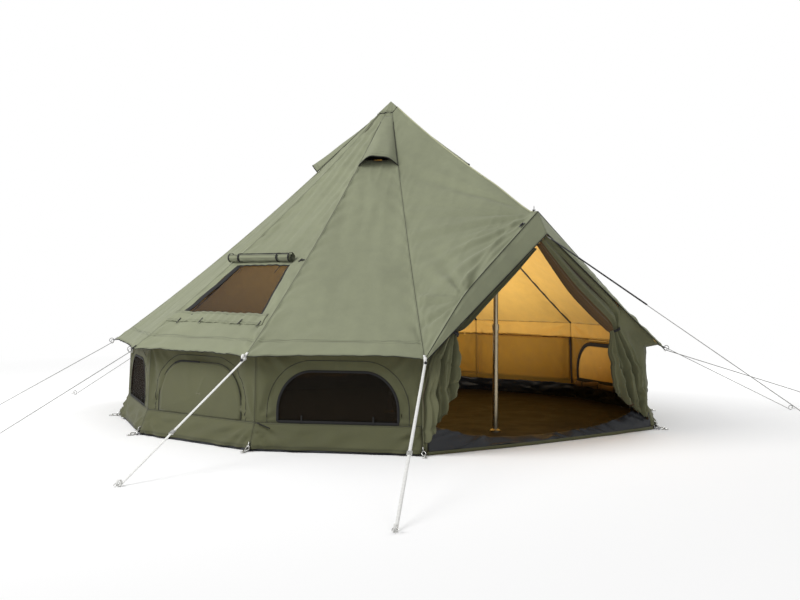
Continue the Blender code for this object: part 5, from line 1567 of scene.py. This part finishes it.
class TENT_OT_guys(bpy.types.Operator):
    """Twelve guys: white webbing at the front left corners and grey cord elsewhere"""

    bl_idname = "tent.guys"
    bl_label = "Guy lines"

    def execute(self, context):
        for name, start, end, flat in guy_lines():
            chain, along = guy_chain(start, end, STRAP_THICKNESS if flat else CORD_DIAMETER)
            level = unit(along * (1, 1, 0))
            across = np.cross(level, UP)
            profile = strap(STRAP_WIDTH, STRAP_THICKNESS) if flat else rod(CORD_DIAMETER / 2)
            line = trim(name.replace("guy", "guyline"), [bar(chain, profile, across)],
                        WHITE_TAPE if flat else "guy cord, grey",
                        stands_for=name)
            hook = ring(end + level * 0.024 - UP * 0.006, UP + level * 0.35, 0.016, 0.0025, 1.4, level)
            pieces = [trim(f"{name}_end_ring", [hook], WIRE)]
            if name == "guy_peak":
                path = lerp(start, end, np.linspace(0.03, 0.33, 14)[:, None]) - UP * EYE_RADIUS
                oval = ring_path((0, 0, 0), UP, 1.0, 10)[:, :2] * (0.0048, 0.011)
                pieces.append(trim("guy_peak_sleeve", [bar(path, oval, across)], BLACK_TAPE))
        return {"FINISHED"}


# Small fittings


class TENT_OT_fittings(bpy.types.Operator):
    """Bindings, loops, rings and hooks at the eave and the foot, and the finishes of the poles"""

    bl_idname = "tent.fittings"
    bl_label = "Trim and fittings"

    def execute(self, context):
        self.eave_binding()
        self.tips()
        self.corners()
        self.peak_fittings()
        self.roof_tapes()
        poles = [f"{place}_pole_{half}" for place in ("centre", "front") for half in ("lower", "upper")]
        # The poles' steel carries a painted amber reflection in its tan tint.
        kinds = {**dict.fromkeys(poles, "steel, galvanised"), "door_frame": "tube, black powder coat"}
        kinds |= dict.fromkeys(("guy_slider_left_1", "guy_slider_left_2"), WIRE)
        for name, kind in kinds.items():
            for holder in bpy.data.objects[name].material_slots:
                holder.material = finish(kind)
        return {"FINISHED"}

    def roof_tapes(self):
        """Dark tape over the inner side of each seam between gores."""
        bars = []
        for k in range(2, 11):
            path = hip_point(k * SIDE_TURN, np.linspace(0.08, 0.945, 30)) - UP * 0.010
            bars.append(bar(path, tape(0.028, 0.002), -UP))
        trim("roof_seam_tapes", bars, BROWN_TAPE)

    def eave_binding(self):
        """Tape on the eave, which is cut in by its scallop times 1 - a^2 on each side."""
        reach = eave_reach()
        across = np.linspace(-1, 1, 41)
        distance = reach - shape().eave_scallop * (1 - across**2)
        path = np.vstack([on_roof(bearing, across * half_gore(reach), distance)[:-1] for bearing in GORES])
        trim("eave_binding", [bar(path, tape(0.008, 0.004), UP)], BLACK_TAPE)

    def tips(self):
        """A loop over each tip of the eave, a ring through it, and an eyelet at the white ones."""
        loops, white, rings, eyelets = [], [], [], []
        for k in range(1, 12):
            bearing = k * SIDE_TURN
            out, across = directions(bearing)
            tip = hip_point(bearing, 1.0)
            top = [hip_point(bearing, share) + UP * 0.006 for share in (0.988, 0.995)]
            low = [hip_point(bearing, share) - UP * 0.010 for share in (0.985, 0.972)]
            path = smooth_curve([*top, tip + out * 0.013 - UP * 0.001, *low], 6)
            (white if k > 9 else loops).append(bar(path, strap(0.020, 0.002), across))
            rings.append(ring(tip + out * 0.016 - UP * 0.012, across + out * 0.9, 0.017, 0.0024))
            if k > 9:
                eyelets.append(ring(tip + out * 0.048 - UP * 0.022, out, 0.006, 0.0055))
        trim("eave_loops", loops, BLACK_TAPE)
        trim("eave_loops_front", white, WHITE_TAPE)
        trim("eave_rings", rings, WIRE)
        trim("eave_eyelets", eyelets, NYLON)

    def corners(self):
        """A loop of webbing on the hem, a ring through it, a link and a small open hook."""
        loops, rings = [], []
        ways = ((0.0, 0.05), (0.006, 0.03), (0.036, 0.011), (0.040, 0.006), (0.030, 0.004), (0.004, 0.012))
        for k in range(1, 12):
            out, across = directions(k * SIDE_TURN)
            foot = out * (shape().base_radius + 0.002)
            path = smooth_curve([foot + out * away + UP * high for away, high in ways], 6)
            loops.append(bar(path, strap(0.020, 0.002), across))
            upper = foot - out * 0.004 + UP * 0.052
            rings.append(ring(upper, across + out * 0.2, 0.013, 0.0042, 1.3, out))
            centre = foot + out * 0.030 + UP * 0.024
            rings.append(ring(centre, UP + out * 0.9, 0.014, 0.0044, 1.5, out))
            link = centre + out * 0.034 - UP * 0.013
            rings.append(ring(link, across * 0.9 + UP * 0.7, 0.010, 0.0042, 2.2, out))
            angle = np.linspace(-0.8, 3.8, 24)[:, None]
            hook = link + out * 0.034 - UP * 0.006 + (out * np.sin(angle) - across * np.cos(angle)) * 0.013
            straight = lerp(link + out * 0.012, hook[0], np.linspace(0, 1, 6)[:-1, None])
            rings.append(bar(np.vstack([straight, hook]), rod(0.0046), UP))
        start, end = (on_wall(-45.0, *spot)[0] for spot in ((-0.605, -0.005, 0.012), (-0.50, -0.040, 0.040)))
        loops.append(bar(np.linspace(start, end, 6), tape(0.016, 0.004), UP))
        trim("corner_loops", loops, BLACK_TAPE)
        trim("corner_rings", rings, WIRE)

    def peak_fittings(self):
        """A toggle below the ridge's end and a grommet round the spike."""
        spot = porch_surface(-1, np.array(0.985), np.array(0.868))
        normal = unit(np.array([-0.55, -0.2, 0.8]))
        run = unit(peak() - spot)
        path = np.linspace(spot - run * 0.03, spot + run * 0.03, 5) + normal * 0.006
        knob = toggle(spot + normal * 0.014, run, normal)
        trim("peak_toggle", [knob, bar(path, tape(0.02, 0.0015), normal)], NYLON)
        spike = np.array([0.0, -shape().peak_reach + 0.045, shape().peak_height])
        trim("peak_grommet", [ring(spike + UP * 0.012, UP, 0.010, 0.004)], NYLON)


# Stage

WHITE = (1.0, 1.0, 1.0, 1.0)
CAMERA_PLACE, CAMERA_LENS = (-5.9233, -8.2806, 1.2667), 48.154
CAMERA_AXES = ((0.80799, -0.58918, 0.00433), (0.00728, 0.01734, 0.99982), (-0.58915, -0.80782, 0.01830))
# Each lamp's place, what it looks at, its width, its power and its colour.
LAMPS = {
    "left softbox": ((-7.5, 0.5, 6.0), (0.0, 0.0, 1.2), 4.5, 520.0, (1.0, 1.0, 1.0)),
    "right softbox": ((7.0, 1.0, 6.5), (0.0, 0.0, 1.2), 4.5, 520.0, (1.0, 1.0, 1.0)),
    "front fill": ((-5.0, -9.0, 5.0), (0.0, 0.0, 1.0), 6.0, 45.0, (1.0, 1.0, 1.0)),
    "inside glow": ((0.3, 0.2, 0.30), (0.55, 0.55, 2.4), 2.2, 62.0, (1.0, 0.97, 0.92)),
}
FLOOR_HALF = 60.0


def turned(right, up, back, place):
    """A camera's or lamp's matrix from its three axes and its place."""
    matrix = Matrix((right, up, back)).transposed().to_4x4()
    matrix.translation = place
    return matrix


class TENT_OT_stage(bpy.types.Operator):
    """Pale floor, soft studio lamps and the photograph's camera"""

    bl_idname = "tent.stage"
    bl_label = "Stage"

    def execute(self, context):
        scene = context.scene
        scene.view_settings.view_transform = "Standard"
        camera = bpy.data.objects.new("camera", bpy.data.cameras.new("camera"))
        scene.collection.objects.link(camera)
        camera.data.sensor_width = 36.0
        camera.data.lens = CAMERA_LENS
        camera.data.clip_end = 100.0
        camera.matrix_world = turned(*CAMERA_AXES, CAMERA_PLACE)
        scene.camera = camera
        for name, (place, target, size, power, tint) in LAMPS.items():
            lamp = bpy.data.objects.new(name, bpy.data.lights.new(name, "AREA"))
            lamp.data.size = size
            lamp.data.energy = power
            lamp.data.color = tint
            scene.collection.objects.link(lamp)
            back = unit(np.array(place) - np.array(target))
            side = unit(np.cross(UP, back))
            lamp.matrix_world = turned(side, np.cross(back, side), back, place)
            lamp.visible_camera = False
        self.world(scene)
        self.floor()
        return {"FINISHED"}

    def world(self, scene):
        """Soft white light, with plain white behind the tent and through its nets."""
        world = bpy.data.worlds.new("studio")
        scene.world = world
        world.use_nodes = True
        tree = world.node_tree
        tree.nodes.clear()
        seen = [node(tree, "LightPath", {}, ray) for ray in ("Is Camera Ray", "Is Transmission Ray")]
        rays = node(tree, "Math", seen, operation="MAXIMUM")
        soft, plain = (node(tree, "Background", {"Color": WHITE, "Strength": power}) for power in (0.62, 1.0))
        node(tree, "OutputWorld", {"Surface": node(tree, "MixShader", (rays, soft, plain))})

    def floor(self):
        """Matt vinyl near the tent. It turns into plain white from 4 to 9 m away."""
        made, tree = new_material("studio floor, white vinyl")
        place = node(tree, "TexCoord", {}, "Object")
        away = node(tree, "VectorMath", (place,), "Value", operation="LENGTH")
        fade = node(tree, "MapRange", (away, 4.0, 9.0, 0.0, 1.0))
        fade = node(tree, "Math", (fade, node(tree, "LightPath", {}, "Is Camera Ray")), operation="MULTIPLY")
        matt = node(tree, "BsdfDiffuse", {"Color": linear("F4F4F4"), "Roughness": 0.5})
        glow = node(tree, "Emission", {"Color": WHITE, "Strength": 1.0})
        node(tree, "OutputMaterial", {"Surface": node(tree, "MixShader", (fade, matt, glow))})
        steps = np.linspace(-FLOOR_HALF, FLOOR_HALF, 3)
        x, y = np.meshgrid(steps, steps, indexing="ij")
        ground = np.stack([x, y, np.full_like(x, -0.001)], -1)
        new_mesh("studio_floor", ground.reshape(-1, 3), grid_faces(3, 3), (made.name,))


# Panel and start


class TENT_PT_tent(bpy.types.Panel):
    """The tent's sizes and colours, and a button for each of its pieces"""

    bl_idname = "TENT_PT_tent"
    bl_label = "Bell tent"
    bl_space_type = "VIEW_3D"
    bl_region_type = "UI"
    bl_category = "Bell tent"

    def draw(self, context):
        for group in (context.scene.tent_shape, context.scene.tent_colours):
            box = self.layout.box()
            for name in group.__annotations__:
                box.prop(group, name)
        for step in STEPS:
            self.layout.operator(f"tent.{step}")


CLOTH_STEPS = ("roof", "porch", "cap", "vents", "roof_window", "walls", "windows", "floor", "door", "flue")
STEPS = ("stage", "guys", *CLOTH_STEPS, "fittings")
CLASSES = [
    TentShape,
    TentColours,
    TENT_OT_stage,
    TENT_OT_guys,
    TENT_OT_roof,
    TENT_OT_porch,
    TENT_OT_cap,
    TENT_OT_vents,
    TENT_OT_roof_window,
    TENT_OT_walls,
    TENT_OT_windows,
    TENT_OT_floor,
    TENT_OT_door,
    TENT_OT_flue,
    TENT_OT_fittings,
    TENT_PT_tent,
]


def register():
    for kind in CLASSES:
        bpy.utils.register_class(kind)
    bpy.types.Scene.tent_shape = PointerProperty(type=TentShape)
    bpy.types.Scene.tent_colours = PointerProperty(type=TentColours)


def unregister():
    del bpy.types.Scene.tent_shape
    del bpy.types.Scene.tent_colours
    for kind in reversed(CLASSES):
        bpy.utils.unregister_class(kind)


def main():
    register()
    for step in STEPS:
        getattr(bpy.ops.tent, step)()


if __name__ == "__main__":
    main()
